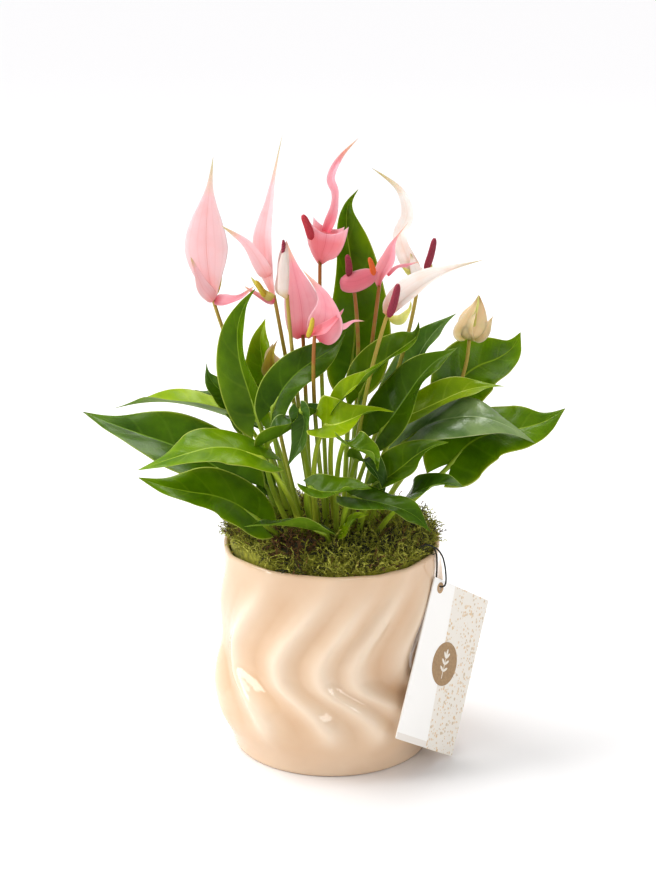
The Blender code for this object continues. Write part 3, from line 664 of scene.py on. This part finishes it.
def seat(row, head):
    # the free place of the spiral that suits a stalk's head, or the place above which the row wants it
    head = planted(row["seatAt"]) if "seatAt" in row else head
    spots = [Vector((*around(stalkSeats["spacing"] * math.sqrt(k * 0.92 + 0.4),
                             math.radians(stalkSeats["turn"] * k)), 0))
             for k in range(stalkSeats["count"])]
    wanted = Vector((head.x, head.y, 0)).normalized() * min(max(25 - 0.10 * (head.z - soilTop), 6), 20)
    best = min((k for k in range(len(spots)) if k not in takenSeats), key=lambda k: (spots[k] - wanted).length)
    takenSeats.add(best)
    return spots[best] + upward * (soilTop + 0.3)


def stalkLine(foot, head, arrive, rise, count):
    # up from the soil and over to the head, reaching it along arrive
    third = (head - foot).length * 0.33
    first = foot + ((head - foot).normalized() + upward * rise).normalized() * third
    last = head - arrive.normalized() * third
    steps = [(k / count, 1 - k / count) for k in range(count + 1)]
    return [foot * u**3 + first * 3 * u * u * t + last * 3 * u * t * t + head * t**3 for t, u in steps]


def addBlade(bm, line, wide, faces, outline, lobe, curl, fold, wave, waves, skin, veins, columns, rows, phase,
             top=0, under=1, rib=0.5, share=(1.0, 1.0), ends=0.0):
    # a thin blade along a line of points; fold turns its halves up at the midrib and curl bends them, in
    # radians; share widens or narrows the left and right half; ends draws its far corners out past its middle
    length = sum((b - a).length for a, b in zip(line, line[1:]))
    faces = [Vector(f).normalized() for f in faces]

    def read(values, t):
        return readCurve(values, t) if len(values) > 1 else values[0]

    frames = {}

    def section(bend, crease):
        # the half section as points from the midrib outwards, for a half width of 1
        points, x, z = [(0.0, 0.0, crease * 0.4)], 0.0, 0.0
        for k in range(12):
            u = (k + 0.5) / 12
            angle = crease * (1 - math.exp(-u / 0.10)) + bend * u
            x, z = x + math.cos(angle) / 12, z + math.sin(angle) / 12
            points.append((x, z, angle))
        return points

    def place(s, t):
        if t not in frames:
            ahead = (readCurve(line, min(t + 0.02, 1)) - readCurve(line, max(t - 0.02, 0))).normalized()
            right = ahead.cross(read(faces, t)).normalized()
            frames[t] = (readCurve(line, t), right, right.cross(ahead), ahead, readCurve(outline, t),
                         section(read(curl, t), read(fold, t)))
        middle, right, up, ahead, size, points = frames[t]
        side = 1 if abs(s) <= 0.5 else -1  # the grid goes over the top and back along the underside
        u = 2 * s if side > 0 else math.copysign(2 * (1 - abs(s)), s)
        u = math.copysign(0.35 * abs(u) + 0.65 * ease(abs(u)), u)
        away, hand = abs(u), 1 if u > 0 else -1
        at = min(int(away * 12), 11)
        (x0, z0, a0), (x1, z1, a1) = points[at], points[at + 1]
        x, z, angle = (blend(a, b, away * 12 - at) for a, b in ((x0, x1), (z0, z1), (a0, a1)))
        half = wide / 2 * size * share[0 if u < 0 else 1]
        normal = up * math.cos(angle) - right * (hand * math.sin(angle))
        back = lobe * length * (1 - ease(t / 0.36)) * away ** 1.4 - ends * length * ease((t - 0.5) / 0.5) * away ** 2
        ripple = wave * math.sin(math.tau * (waves * t + phase + (0.31 if u > 0 else 0))) * u * u * min(size * 2, 1)
        swell = 0.0
        if veins:
            beat = math.cos(math.tau * (t - 0.22 * away ** 1.3) * veins / 2)
            swell = -0.24 * beat * math.sin(math.pi * away) * size - 0.35 * bell(u, 0.07) * size
        close = min(1, (1 - t) * 25)
        thick = skin * (1 - away ** 3) * min(size * 3, 1) * close
        keel = rib * bell(u, 0.06) * (1 - 0.7 * t) * close if side < 0 else 0
        return (middle + right * (half * x * hand) + up * (half * z) - ahead * back
                + normal * (swell + ripple + side * (thick + keel)))

    addSheet(bm, columns * 2, rows, place,
             lambda s, t: top if abs(s) <= 0.5 else under,
             lambda s, t: (0.5 + s if abs(s) <= 0.5 else 0.5 + math.copysign(1 - abs(s), s), t), wrapped=True)


def makeLeaf(number, joint, tip, wide, facing, row):
    form, look, fold = leafForm, row.get("look", "green"), row.get("fold", 0.30)
    joint, tip = planted(joint), planted(tip)
    chord = tip - joint
    side = chord.cross(Vector(facing)).normalized()
    lift = side.cross(chord.normalized())
    # arched towards its face, and swaying a little to one side and back
    line = [joint + chord * t + lift * row.get("bow", 3.0) * 4 * t * (1 - t)
            + side * row.get("sway", 2.0) * math.sin(math.tau * t) for t in (0.0, 0.2, 0.4, 0.6, 0.8, 1.0)]
    if "via" in row:
        line = [joint, *(planted(p) for p in row["via"]), tip]
    foot = seat(row, joint)
    ahead = (line[1] - line[0]).normalized()
    stalk = stalkLine(foot, joint, (joint - foot).normalized() + ahead * 0.5, row.get("rise", 0.5), 10)
    stalk[-1] = stalk[-1] - lift * 0.7
    under = [readCurve(line, t) - lift * 0.6 for t in (0.06, 0.14)]
    bm = bmesh.new()
    addBlade(bm, line, wide * form["fuller"], [facing], row.get("outline", form["outline"]), form["lobe"],
             row.get("curl", (0.1, 0.0, -0.15)), (fold * 0.7, fold, fold * 1.3, fold), row.get("wave", 1.6),
             row.get("waves", 1.6), form["skin"], form["veins"], form["columns"], form["rows"],
             random.Random(int(number)).random(), share=row.get("share", (1.0, 1.0)))
    total = sum((b - a).length for a, b in zip(stalk, stalk[1:]))
    thin = row.get("petiole", form["petiole"])
    addTube(bm, stalk + under,
            lambda t, s: thin * (1.25 - 0.5 * t) * (1 + form["knuckle"] * bell((0.86 - t) * total, 5))
            * (1 if t < 0.9 else 1 - 4 * (t - 0.9)), 10, 30, 2)
    petiole = brightPetiole if look in ("young", "lush") else greenPetiole
    slot = {"dark": "leaf_dark", "young": "leaf_young"}.get(look, "leaf_green")
    stands = ["leaf_" + number] if "leaf_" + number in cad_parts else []
    finishPiece(bm, "anthuriumLeaf" + number, [leafLooks[look], leafUnder, petiole], stands, slot)


# Seats are taken in the order the stalks were planted, flowers first.

spatheForm = {
    # half widths along a strip, as shares of its widest
    "lance": (0.10, 0.32, 0.62, 0.87, 1.0, 0.92, 0.70, 0.40, 0.16, 0.06, 0.01),
    "slim": (0.12, 0.34, 0.70, 0.98, 1.0, 0.74, 0.46, 0.30, 0.17, 0.07, 0.01),
    "petal": (0.35, 0.80, 0.98, 1.0, 0.90, 0.72, 0.52, 0.33, 0.17, 0.06, 0.01),
    "ribbon": (0.45, 0.9, 1.0, 0.85, 0.72, 0.66, 0.62, 0.52, 0.34, 0.15, 0.01),
    "tube": (0.30, 0.75, 0.98, 1.0, 0.97, 0.92, 0.84, 0.70, 0.52, 0.30, 0.05),
    "flap": (0.4, 0.9, 1.0, 1.0, 0.9, 0.75, 0.6, 0.45, 0.3, 0.15, 0.02),
    "cup": (0.10, 0.18, 0.29, 0.42, 0.55, 0.68, 0.79, 0.88, 0.94, 0.98, 1.0),
    "oval": (0.30, 0.72, 0.92, 1.0, 1.0, 0.98, 0.94, 0.86, 0.72, 0.48, 0.05),
    "tail": (0.9, 1.0, 0.75, 0.60, 0.66, 0.80, 0.85, 0.70, 0.42, 0.18, 0.01),
    "columns": 18, "rows": 40, "skin": 0.22, "wave": 0.5, "waves": 1.5, "rib": 0.3, "stem": 1.35,
}

spatheColors = {  # base, body, rib, tip
    "pink": ("DC5468", "F1A1AC", "D86A80", "D9A878"),
    "blush": ("EE9A98", "F3BFC3", "D98A80", "B9A860"),
    "coral": ("D24A4E", "EC8690", "D65A68", "F0A4B0"),
    "rose": ("B85C6C", "D4707E", "B85868", "D8808A"),
    "cream": ("E8AC84", "FDF1E8", "EBC4AC", "AC9C48"),
    "pale": ("D8B478", "FAE2D6", "EBC4B0", "E0A494"),
    "lime": ("B8B650", "D2D27C", "A8A84A", "B8B860"),
    "olive": ("8E8A2A", "B0A640", "8A6A2A", "9A6030"),
    "tan": ("B9B05E", "E2C69A", "B98F5C", "B08E48"),
}


def spatheMaterial(name, base, body, rib, tip):
    # Anthurium spathe: a thick waxy bract, glossy, letting light glow through it, green-gold at its tail.
    made, tree, shader = startMaterial(name, roughness=0.34, ior=1.45, specular=0.45,
                                       glow=0.35, glowReach=0.004, glowColor=(1.0, 0.5, 0.45))
    coordinates = addNode(tree, "TexCoord")
    apart = addNode(tree, "SeparateXYZ", {"Vector": coordinates.outputs["UV"]})
    color = addNode(tree, "ValToRGB", {0: apart.outputs["Y"]},
                    stops=((0.0, base), (0.22, body), (0.74, body), (0.93, tip)))
    fine, side = apart, apart
    for value, operation in ((14.0, "MULTIPLY"), (1.0, "PINGPONG")):  # fine ribs along it, about 1.5 mm apart
        fine = addNode(tree, "Math", {0: fine, 1: value}, operation=operation)
    fine = addNode(tree, "ValToRGB", {0: fine}, stops=((0.0, 0.14), (0.3, 0.0)))
    for value, operation in ((0.5, "SUBTRACT"), (0.0, "ABSOLUTE")):
        side = addNode(tree, "Math", {0: side, 1: value}, operation=operation)
    spine = addNode(tree, "ValToRGB", {0: side}, stops=((0.0, 0.55), (0.03, 0.0)))
    cloud = addNode(tree, "TexNoise", {"Vector": coordinates.outputs["Object"], "Scale": 90.0, "Detail": 2.0})
    blotch = addNode(tree, "ValToRGB", {0: cloud}, stops=((0.5, 0.0), (0.8, 0.30)))
    for amount, tint in ((fine, rib), (spine, rib), (blotch, base)):
        color = addNode(tree, "Mix", {0: amount, 6: color, 7: linear(tint)}, data_type="RGBA").outputs[2]
    dress(tree, shader, color, fine, 0.2, 0.0002)
    return made


spatheLooks = {kind: spatheMaterial(kind + "Spathe", *tints) for kind, tints in spatheColors.items()}
stemLook = stalkMaterial("flowerStem", "9AAC36", "A86C34", 0.70)
greenStem = stalkMaterial("greenFlowerStem", "9CAC36", "B09A48", 0.55)


def spadixMaterial(name, dark, light):
    # Spadix: packed with tiny flowers, each a raised bead about a millimetre wide.
    made, tree, shader = startMaterial(name, roughness=0.55, glow=0.05, glowReach=0.001)
    bead = addNode(tree, "Attribute", attribute_name="bead").outputs["Fac"]
    # the colour follows the beads: painted shade between them and painted light on their tops
    dress(tree, shader, addNode(tree, "ValToRGB", {0: bead}, stops=((0.25, dark), (0.85, light))))
    return made


spadixLooks = {
    "red": spadixMaterial("redSpadix", "5C0C22", "C0455C"),
    "scarlet": spadixMaterial("scarletSpadix", "A01426", "D8505C"),
    "yellow": spadixMaterial("yellowSpadix", "B09A1C", "E6D250"),
    "orange": spadixMaterial("orangeSpadix", "CC4416", "F08A3E"),
}

flowerRows = {  # strips: outline, width, line, facings, curls and what is their own
    "1": dict(head=(-70, 24, 159), seatAt=(-70, 24, 120), look="blush", stem="green",
              spadix=dict(line=[(-70, 28, 163), (-67, 31, 178)], look="yellow", radius=1.5), strips=[
        ("lance", 26, [(-71, 24, 160), (-74, 25, 179), (-75, 26, 200), (-73, 27, 224), (-70, 26, 247)],
         [(0.1, -1, 0.05)], (0.5, -0.3, -0.3, 0.5), dict(fold=(0.1,))),
        ("flap", 9, [(-70, 23, 161), (-63, 20, 161), (-55, 18, 164), (-46, 18, 171)], [(0, -0.8, 0.7)], (1.0,),
         dict(look="pink")),
        ("flap", 10, [(-71, 22, 161), (-77, 20, 169), (-81, 20, 179), (-84, 21, 188)], [(0.5, -0.8, 0.3)], (0.7,)),
    ]),
    "2": dict(head=(-34, 14, 165), look="blush", stem="green",
              spadix=dict(line=[(-40, 8, 167), (-45, 6, 177)], look="yellow", radius=1.7), strips=[
        ("slim", 14, [(-34, 14, 164), (-38, 15, 180), (-40, 17, 200), (-37, 19, 220), (-34, 20, 237),
         (-29, 20, 261)], [(-0.5, -1, 0.1)], (0.5, 0.3, 0.6), dict(fold=(0.2,))),
        ("flap", 10, [(-38, 12, 178), (-43, 11, 188), (-51, 11, 199), (-65, 12, 209)], [(-0.4, -1, 0.3)], (0.3,)),
        ("flap", 6, [(-35, 11, 165), (-42, 9, 171), (-48, 9, 179)], [(-0.2, -1, 0.3)], (0.9,), dict(look="lime")),
        ("flap", 6, [(-34, 12, 163), (-42, 10, 166), (-52, 10, 173)], [(-0.1, -0.8, 0.6)], (0.9,),
         dict(look="pink")),
    ]),
    "3": dict(head=(-28, -12, 172), look="pale", stem="green",
              spadix=dict(line=[(-29.5, -12.5, 176), (-28, -12.5, 206)], look="red", radius=1.5), strips=[
        ("tube", 21, [(-26, -11, 171), (-25, -11, 188), (-26, -11, 205)], [(-0.95, -0.3, 0.1)], (2.6,)),
    ]),
    "4": dict(head=(-17, 0, 144), look="pink", strips=[
        ("petal", 25, [(-17, 0, 144), (-18, -3, 164), (-22, -1, 184), (-26, 2, 201)], [(0.1, -1, 0.1)],
         (0.9, 0.4, 0.4), dict(fold=(0.2,))),
    ]),
    "5": dict(head=(-6, -26, 157), look="pink",
              spadix=dict(line=[(-14, -32, 153), (-11, -34, 165)], look="yellow", radius=1.5), strips=[
        ("petal", 23, [(-10, -27, 152), (-4, -29, 163), (-5, -31, 177), (-17, -31, 193)], [(-0.3, -1, 0.2),
         (-0.5, -1, 0.1)], (0.7, 0.5, 0.6), dict(share=(0.8, 1.2))),
        ("flap", 8, [(-12, -29, 154), (-5, -34, 158), (2, -34, 164), (7, -32, 170)], [(0.2, -0.7, 0.8)], (0.9,),
         dict(look="coral")),
        ("flap", 4.5, [(-1, -27, 156), (7, -28, 158), (13, -27, 161), (19, -26, 161)], [(0, -0.6, 1)], (0.6,),
         dict(look="pink")),
    ]),
    "6": dict(head=(-7, 20, 188), look="coral",
              spadix=dict(line=[(-12, 11, 201), (-17, 9, 216)], look="scarlet", radius=2.3), strips=[
        ("cup", 27, [(-7, 20, 184), (-6, 17, 190), (-4, 14, 197), (-3, 12, 204)], [(-0.15, -1, 0.15)],
         (0.5, 0.5, 0.5), dict(ends=0.45)),
        ("cup", 22, [(-7, 20, 185), (-5, 23, 195), (-2, 24, 205)], [(-0.15, -1, 0.15)], (0.8, 0.9), dict(ends=0.2)),
        ("tail", 7.5, [(-3, 22, 203), (1, 25, 216), (2, 27, 226), (0, 31, 234), (5, 37, 245), (16, 40, 256)],
         [(-0.6, -1, 0.2), (0.3, -1, 0.1), (-0.5, -1, 0.2), (0.4, -1, 0.2)], (0.8,), dict(look="pink")),
    ]),
    "7": dict(head=(10, 8, 171), look="rose", stemAt=(13, 5, 173),
              spadix=dict(line=[(10, 6, 180), (9, 5, 193)], look="red", radius=2.0), strips=[
        ("oval", 13, [(5, 7, 177), (9, 4, 177), (15, 2, 178), (22, 2, 181), (27, 3, 183)], [(-0.1, -1, 0.45)],
         (-0.3,)),
    ]),
    "8": dict(head=(28, 7, 173), seatAt=(20, 20, 150), look="pink",
              spadix=dict(line=[(25, 4, 178), (22, 2, 192)], look="orange", radius=1.7), strips=[
        ("lance", 12, [(28, 7, 172), (29, 7, 180), (34, 8, 190), (37, 9, 200), (45, 12, 211)], [(-0.5, -0.9, 0.2)],
         (0.8,), dict(fold=(0.3,), share=(1.0, 1.3))),
        ("ribbon", 3.2, [(33, 7, 180), (39, 8, 185), (45, 9, 186), (53, 10, 188)], [(0, -0.8, 0.6)], (0.6,),
         dict(look="pink")),
    ]),
    "9": dict(head=(50, 24, 173), seatAt=(30, 50, 173), look="cream", stem="green",
              spadix=dict(line=[(56, 20, 180), (61, 18, 200)], look="red", radius=2.1), strips=[
        ("ribbon", 13, [(52, 24, 173), (45, 25, 187), (41, 28, 200), (45, 33, 212), (40, 37, 226), (24, 40, 238)],
         [(0.4, -0.9, 0.3), (-0.4, -1, 0.1), (0.3, -1, 0.1), (-0.2, -1, 0.3)], (0.9, 0.5, 0.5), dict(fold=(0.2,))),
        ("flap", 7, [(53, 22, 174), (47, 20, 178), (41, 19, 183)], [(0.2, -0.8, 0.6)], (0.9,), dict(look="lime")),
        ("flap", 7, [(53, 22, 174), (58, 20, 178), (60, 20, 184)], [(-0.2, -0.8, 0.4)], (0.9,), dict(look="lime")),
        ("flap", 9, [(53, 22, 174), (50, 20, 181), (47, 22, 190)], [(0, -1, 0.3)], (0.5,), dict(look="cream")),
    ]),
    "10": dict(head=(31, -24, 162), look="cream", stem="green",
              spadix=dict(line=[(33, -28, 164), (38, -30, 184)], look="red", radius=2.3), strips=[
        ("petal", 20, [(32, -23, 163), (42, -21, 173), (56, -19, 183), (71, -17, 190), (88, -16, 195)],
         [(-0.25, -1, 0.5), (-0.3, -0.9, 0.6)], (0.9, 0.5), dict(fold=(0.5,), share=(1.2, 0.7))),
        ("flap", 6.5, [(33, -22, 161), (40, -19, 160), (45, -17, 165), (46, -17, 171)], [(0, -0.9, 0.5)], (0.8,),
         dict(look="lime")),
    ]),
}
spatheSlots = {"blush": "spathe_pink", "pink": "spathe_pink", "rose": "spathe_pink", "coral": "spathe_coral",
               "cream": "spathe_cream", "pale": "spathe_cream"}


def addStrips(bm, row, phase):
    # the bract's strips, and the looks that they wear in order
    form, looks = spatheForm, []
    for outline, wide, line, faces, curl, *own in row["strips"]:
        own = own[0] if own else {}
        look = spatheLooks[own.get("look", row["look"])]
        if look not in looks:
            looks.append(look)
        k = looks.index(look)
        addBlade(bm, [planted(p) for p in line], wide, faces, form[outline], 0.0, curl, own.get("fold", (0.0,)),
                 form["wave"], form["waves"], form["skin"], 0, form["columns"], form["rows"], phase, k, k,
                 form["rib"], own.get("share", (1.0, 1.0)), own.get("ends", 0.0))
    return looks


def makeFlower(number, row):
    node, points = "flower_" + number, row["strips"][0][2]
    foot = seat(row, planted(row["head"]))
    bm = bmesh.new()
    looks = addStrips(bm, row, 0.2 * int(number))
    finishPiece(bm, "spathe" + number, looks, [node + "_spathe"], spatheSlots[row["look"]])

    start = planted(row.get("stemAt", points[0]))
    away = (planted(points[1]) - start).normalized()
    line = stalkLine(foot, start, (start - foot).normalized() + away * 0.3, 0.4, 12)
    line.append(start + away * 2.0)  # its end is inside the bract's base
    bm = bmesh.new()
    addTube(bm, line, lambda t, s: spatheForm["stem"] * (1.15 - 0.35 * t) * (1 + 0.25 * bell(1 - t, 0.03)), 10, 36)
    finishPiece(bm, "flowerStem" + number, [greenStem if row.get("stem") == "green" else stemLook],
                [node + "_stem"], "stem")
    if "spadix" in row:
        makeSpadix(number, **row["spadix"])


spadixSwell = (0.45, 0.88, 1.0, 1.0, 0.97, 0.93, 0.87, 0.76, 0.40)  # from its base to its tip
beadSpacing = 1.5  # a little coarser than life, to show


def makeSpadix(number, line, look, radius):
    a, b = (planted(p) for p in line)

    def bead(t, s):
        rows = (b - a).length / beadSpacing
        return 0.5 + 0.5 * math.sin(math.tau * (rows * t + 5 * s)) * math.sin(math.tau * (rows * t - 4 * s))

    bm = bmesh.new()
    bent = [a.lerp(b, k / 4) + Vector((0.6, 0, 0)) * math.sin(math.pi * k / 4) for k in range(5)]
    addTube(bm, bent, lambda t, s: radius * readCurve(spadixSwell, t) * (0.88 + 0.22 * bead(t, s)), 44, 64)
    piece = finishPiece(bm, "spadix" + number, [spadixLooks[look]], ["flower_" + number + "_spadix"],
                        "spadix_red" if look in ("red", "scarlet") else "spadix_yellow")
    beads = piece.data.attributes.new("bead", "FLOAT", "POINT")
    uv = piece.data.uv_layers.active.data
    for loop in piece.data.loops:
        s, t = uv[loop.index].uv
        beads.data[loop.vertex_index].value = bead(t, 2 * s - 1)


for number, row in flowerRows.items():
    makeFlower(number, row)
print("flowers")

budRows = {
    "1": dict(head=(83, 20, 138), slot="bud_cream", look="tan",
              bulb=[(82, 20, 138), (84, 19, 147), (87, 18, 157), (88, 18, 165)], strips=[
        ("petal", 15, [(82, 19, 138), (80, 12, 144), (81, 10, 151), (85, 13, 159), (88, 17, 166)], [(-0.3, -1, 0.1)],
         (1.1, 0.9, 0.7)),
        ("petal", 12, [(84, 19, 139), (90, 15, 144), (94, 17, 148), (97, 20, 152)], [(0.3, -1, 0.2)], (0.9,)),
        ("flap", 3.5, [(84, 10, 148), (86, 11, 156), (88, 16, 166)], [(-0.1, -1, 0.1)], (1.0,), dict(look="lime")),
    ]),
    "2": dict(head=(-35, 4, 122), slot="bud_green", look="olive", seatAt=(-36, -14, 122), strips=[
        ("petal", 16, [(-35, 4, 121), (-36, 1, 127), (-36, 1, 134), (-32, 3, 142)], [(-0.2, -1, 0.1)],
         (1.3, 1.2, 0.9), dict(fold=(0.3,))),
        ("petal", 14, [(-35, 5, 122), (-37, 8, 130), (-35, 6, 139)], [(0.1, 1, 0.1)], (1.2,), dict(look="tan")),
    ]),
}
bulbRadius = (2.0, 5.6, 8.0, 9.0, 8.8, 7.7, 6.1, 4.4, 2.8, 1.4, 0.5)  # from its stem to its tip


def makeBud(number, row):
    # a bract still rolled round its spadix
    head = planted(row["head"])
    foot = seat(row, head)
    bm = bmesh.new()
    looks = addStrips(bm, row, 0.3)
    if "bulb" in row:  # the closed body under its lapped edges, with three soft corners
        addTube(bm, [planted(p) for p in row["bulb"]],
                lambda t, s: readCurve(bulbRadius, t) * (1 + 0.09 * math.cos(3 * math.pi * s)), 30, 30)
    line = stalkLine(foot, head, upward, 0.4, 12)
    addTube(bm, line, lambda t, s: spatheForm["stem"] * (1.1 - 0.3 * t), 10, 36, len(looks))
    finishPiece(bm, "flowerBud" + number, looks + [greenStem], ["bud_" + number], row["slot"])


for number, row in budRows.items():
    makeBud(number, row)
print("buds")

for number, row in leafRows.items():
    makeLeaf(number, *row)
print("leaves")


labelShape = {
    "facing": -36.8, "lean": 5.3, "turn": 30.6, "wide": 65.0, "long": 99.0, "thick": 0.6,
    "hole": (8.3, 5.0, 1.6), "eyelet": 3.4, "corner": 1.2, "seal": (32.3, 47.2, 13.4),
    "split": (24.0, 33.0, 90.0), "flap": 95.0,  # the edge of the print and flap: at the top, lower down, and how low
}


def labelFrame():
    p = labelShape
    facing, lean, turn = (math.radians(p[k]) for k in ("facing", "lean", "turn"))
    outward = Vector((math.cos(facing), math.sin(facing), 0))
    normal = outward * math.cos(lean) + upward * math.sin(lean)
    level = upward.cross(outward)
    down = level.cross(normal)
    across = level * math.cos(turn) + down * math.sin(turn)
    below = down * math.cos(turn) - level * math.sin(turn)
    points = [v.co * 1000 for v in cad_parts["tag_card"].data.vertices]
    corner = (across * min(q.dot(across) for q in points) + below * min(q.dot(below) for q in points)
              + normal * min(q.dot(normal) for q in points))
    return corner, across, below, normal


# Uncoated card: a warm white board, printed with a flecked terrazzo pattern on one side.
printedCard, tree, shader = startMaterial("printedCard", roughness=0.6)
uv = addNode(tree, "TexCoord").outputs["UV"]  # in millimetres
apart = addNode(tree, "SeparateXYZ", {"Vector": uv})
splitX, splitTurn, splitDown = labelShape["split"]
slant = addNode(tree, "Math", {0: apart.outputs["Y"], 1: (splitX - splitTurn) / splitDown, 2: apart},
                operation="MULTIPLY_ADD")
flecked = addNode(tree, "Math", {0: slant, 1: splitX}, operation="GREATER_THAN")
warp = addNode(tree, "TexNoise", {"Vector": uv, "Scale": 0.9, "Detail": 1.0}).outputs["Color"]
bent = addNode(tree, "Mix", {0: 0.35, 4: uv, 5: warp}, data_type="VECTOR").outputs[1]
cells = addNode(tree, "TexVoronoi", {"Vector": bent, "Scale": 0.75, "Randomness": 1.0})  # chips near 1 mm
chance = addNode(tree, "SeparateColor", {"Color": cells.outputs["Color"]})
chip = addNode(tree, "Math", {0: chance, 1: 0.56}, operation="MULTIPLY")
chip = addNode(tree, "Math", {0: cells, 1: chip}, operation="LESS_THAN")
chip = addNode(tree, "Math", {0: chip, 1: flecked}, operation="MULTIPLY")
chipTint = addNode(tree, "ValToRGB", {0: chance.outputs["Green"]},
                   stops=((0.2, "E0C49C"), (0.5, "E8D3B8"), (0.8, "D8C7AE")))
color = addNode(tree, "Mix", {0: flecked, 6: linear("EFE9E1"), 7: linear("F1EBE1")}, data_type="RGBA").outputs[2]
color = addNode(tree, "Mix", {0: chip, 6: color, 7: chipTint}, data_type="RGBA").outputs[2]
fibre = addNode(tree, "TexNoise", {"Vector": uv, "Scale": 3.0, "Detail": 3.0})
dress(tree, shader, color, fibre, 0.15, 0.0001)

# Printed seal: a flat bronze-brown ink, slightly uneven.
bronzeInk = mottledMaterial("bronzeInk", 700.0, 2.0, [(0.3, "A0825E"), (0.7, "B2936C")], roughness=0.5)
# Kraft paper ring, pale printing ink and smooth white paper: matt, and even in colour.
kraftRing, _, _ = startMaterial("kraftPaper", color=linear("B99A76"), roughness=0.75)
paleInk, _, _ = startMaterial("paleInk", color=linear("F1EADF"), roughness=0.6)
plainPaper, _, _ = startMaterial("plainPaper", color=linear("FFFDF9"), roughness=0.65)


def makeLabel():
    p = labelShape
    corner, *axes = labelFrame()
    toWorld = Matrix(axes).transposed().to_4x4()
    toWorld.translation = corner

    def plate(name, outlines, low, high, look, stands=()):
        # a flat plate inside its outlines, from one height above the card's back to another
        bm = bmesh.new()
        edges = []
        for outline in outlines:
            ring = [bm.verts.new((x, y, low)) for x, y in outline]
            edges += [bm.edges.new(pair) for pair in zip(ring, ring[1:] + ring[:1])]
        filled = bmesh.ops.triangle_fill(bm, edges=edges, use_beauty=True)["geom"]
        raised = bmesh.ops.extrude_face_region(bm, geom=[g for g in filled if isinstance(g, bmesh.types.BMFace)],
                                               use_keep_orig=True)["geom"]
        bmesh.ops.translate(bm, verts=[g for g in raised if isinstance(g, bmesh.types.BMVert)],
                            vec=(0, 0, high - low))
        bmesh.ops.recalc_face_normals(bm, faces=bm.faces)
        uv = bm.loops.layers.uv.verify()
        for face in bm.faces:
            for loop in face.loops:
                loop[uv].uv = loop.vert.co.xy
        bmesh.ops.transform(bm, matrix=toWorld, verts=bm.verts)
        finishPiece(bm, name, [look], stands, "tag_card", turnOut=True)

    def arc(x, y, radius, turn=0.0, sweep=math.tau, count=40, closed=True):
        angles = [turn + sweep * k / (count if closed else count - 1) for k in range(count)]
        return [(x + radius * math.cos(a), y + radius * math.sin(a)) for a in angles]

    soft, thick, wide, tall = p["corner"], p["thick"], p["wide"], p["long"]
    corners = []
    farX, farY = wide - soft, tall - soft
    for x, y, start in ((soft, soft, 180), (farX, soft, 270), (farX, farY, 0), (soft, farY, 90)):
        corners += arc(x, y, soft, math.radians(start), math.pi / 2, 5, closed=False)
    holeX, holeY, hole = p["hole"]
    sealX, sealY, seal = p["seal"]
    plate("cardLabel", [corners, arc(holeX, holeY, hole)], 0, thick, printedCard, ["tag_card"])
    plate("cardEyelet", [arc(holeX, holeY, p["eyelet"]), arc(holeX, holeY, hole)], thick, thick + 0.25, kraftRing)
    plate("cardSeal", [arc(sealX, sealY, seal, count=64)], thick + 0.24, thick + 0.34, bronzeInk)
    # a plain paper flap folded round the left side, which the seal holds down
    low = splitX + (splitTurn - splitX) * p["flap"] / splitDown
    plate("cardFlap", [[(0.2, 0.2), (splitX, 0.2), (low, p["flap"]), (0.2, p["flap"])],
                       arc(holeX, holeY, p["eyelet"] - 0.3)], thick + 0.02, thick + 0.22, plainPaper)
    # a plain sprig: three pairs of leaflets and one at its top, on a straight stem
    sprig = []
    for along, turn in ((-4.6, 55), (-4.6, -55), (-0.4, 50), (-0.4, -50), (3.4, 40), (3.4, -40), (4.4, 0)):
        ahead, across = math.cos(math.radians(turn)), math.sin(math.radians(turn))
        leaflet = [(2.5 + 2.4 * x, 0.85 * y) for x, y in arc(0, 0, 1, count=14)]
        sprig.append([(sealX + x * across + y * ahead, sealY - along - x * ahead + y * across) for x, y in leaflet])
    sprig.append([(sealX - 0.3, sealY + 9.0), (sealX + 0.3, sealY + 9.0), (sealX + 0.2, sealY - 6.0),
                  (sealX - 0.2, sealY - 6.0)])
    for k, outline in enumerate(sprig):
        plate("cardSprig" + str(k), [outline], thick + 0.34, thick + 0.38 + 0.005 * k, paleInk)


makeLabel()
print("label")
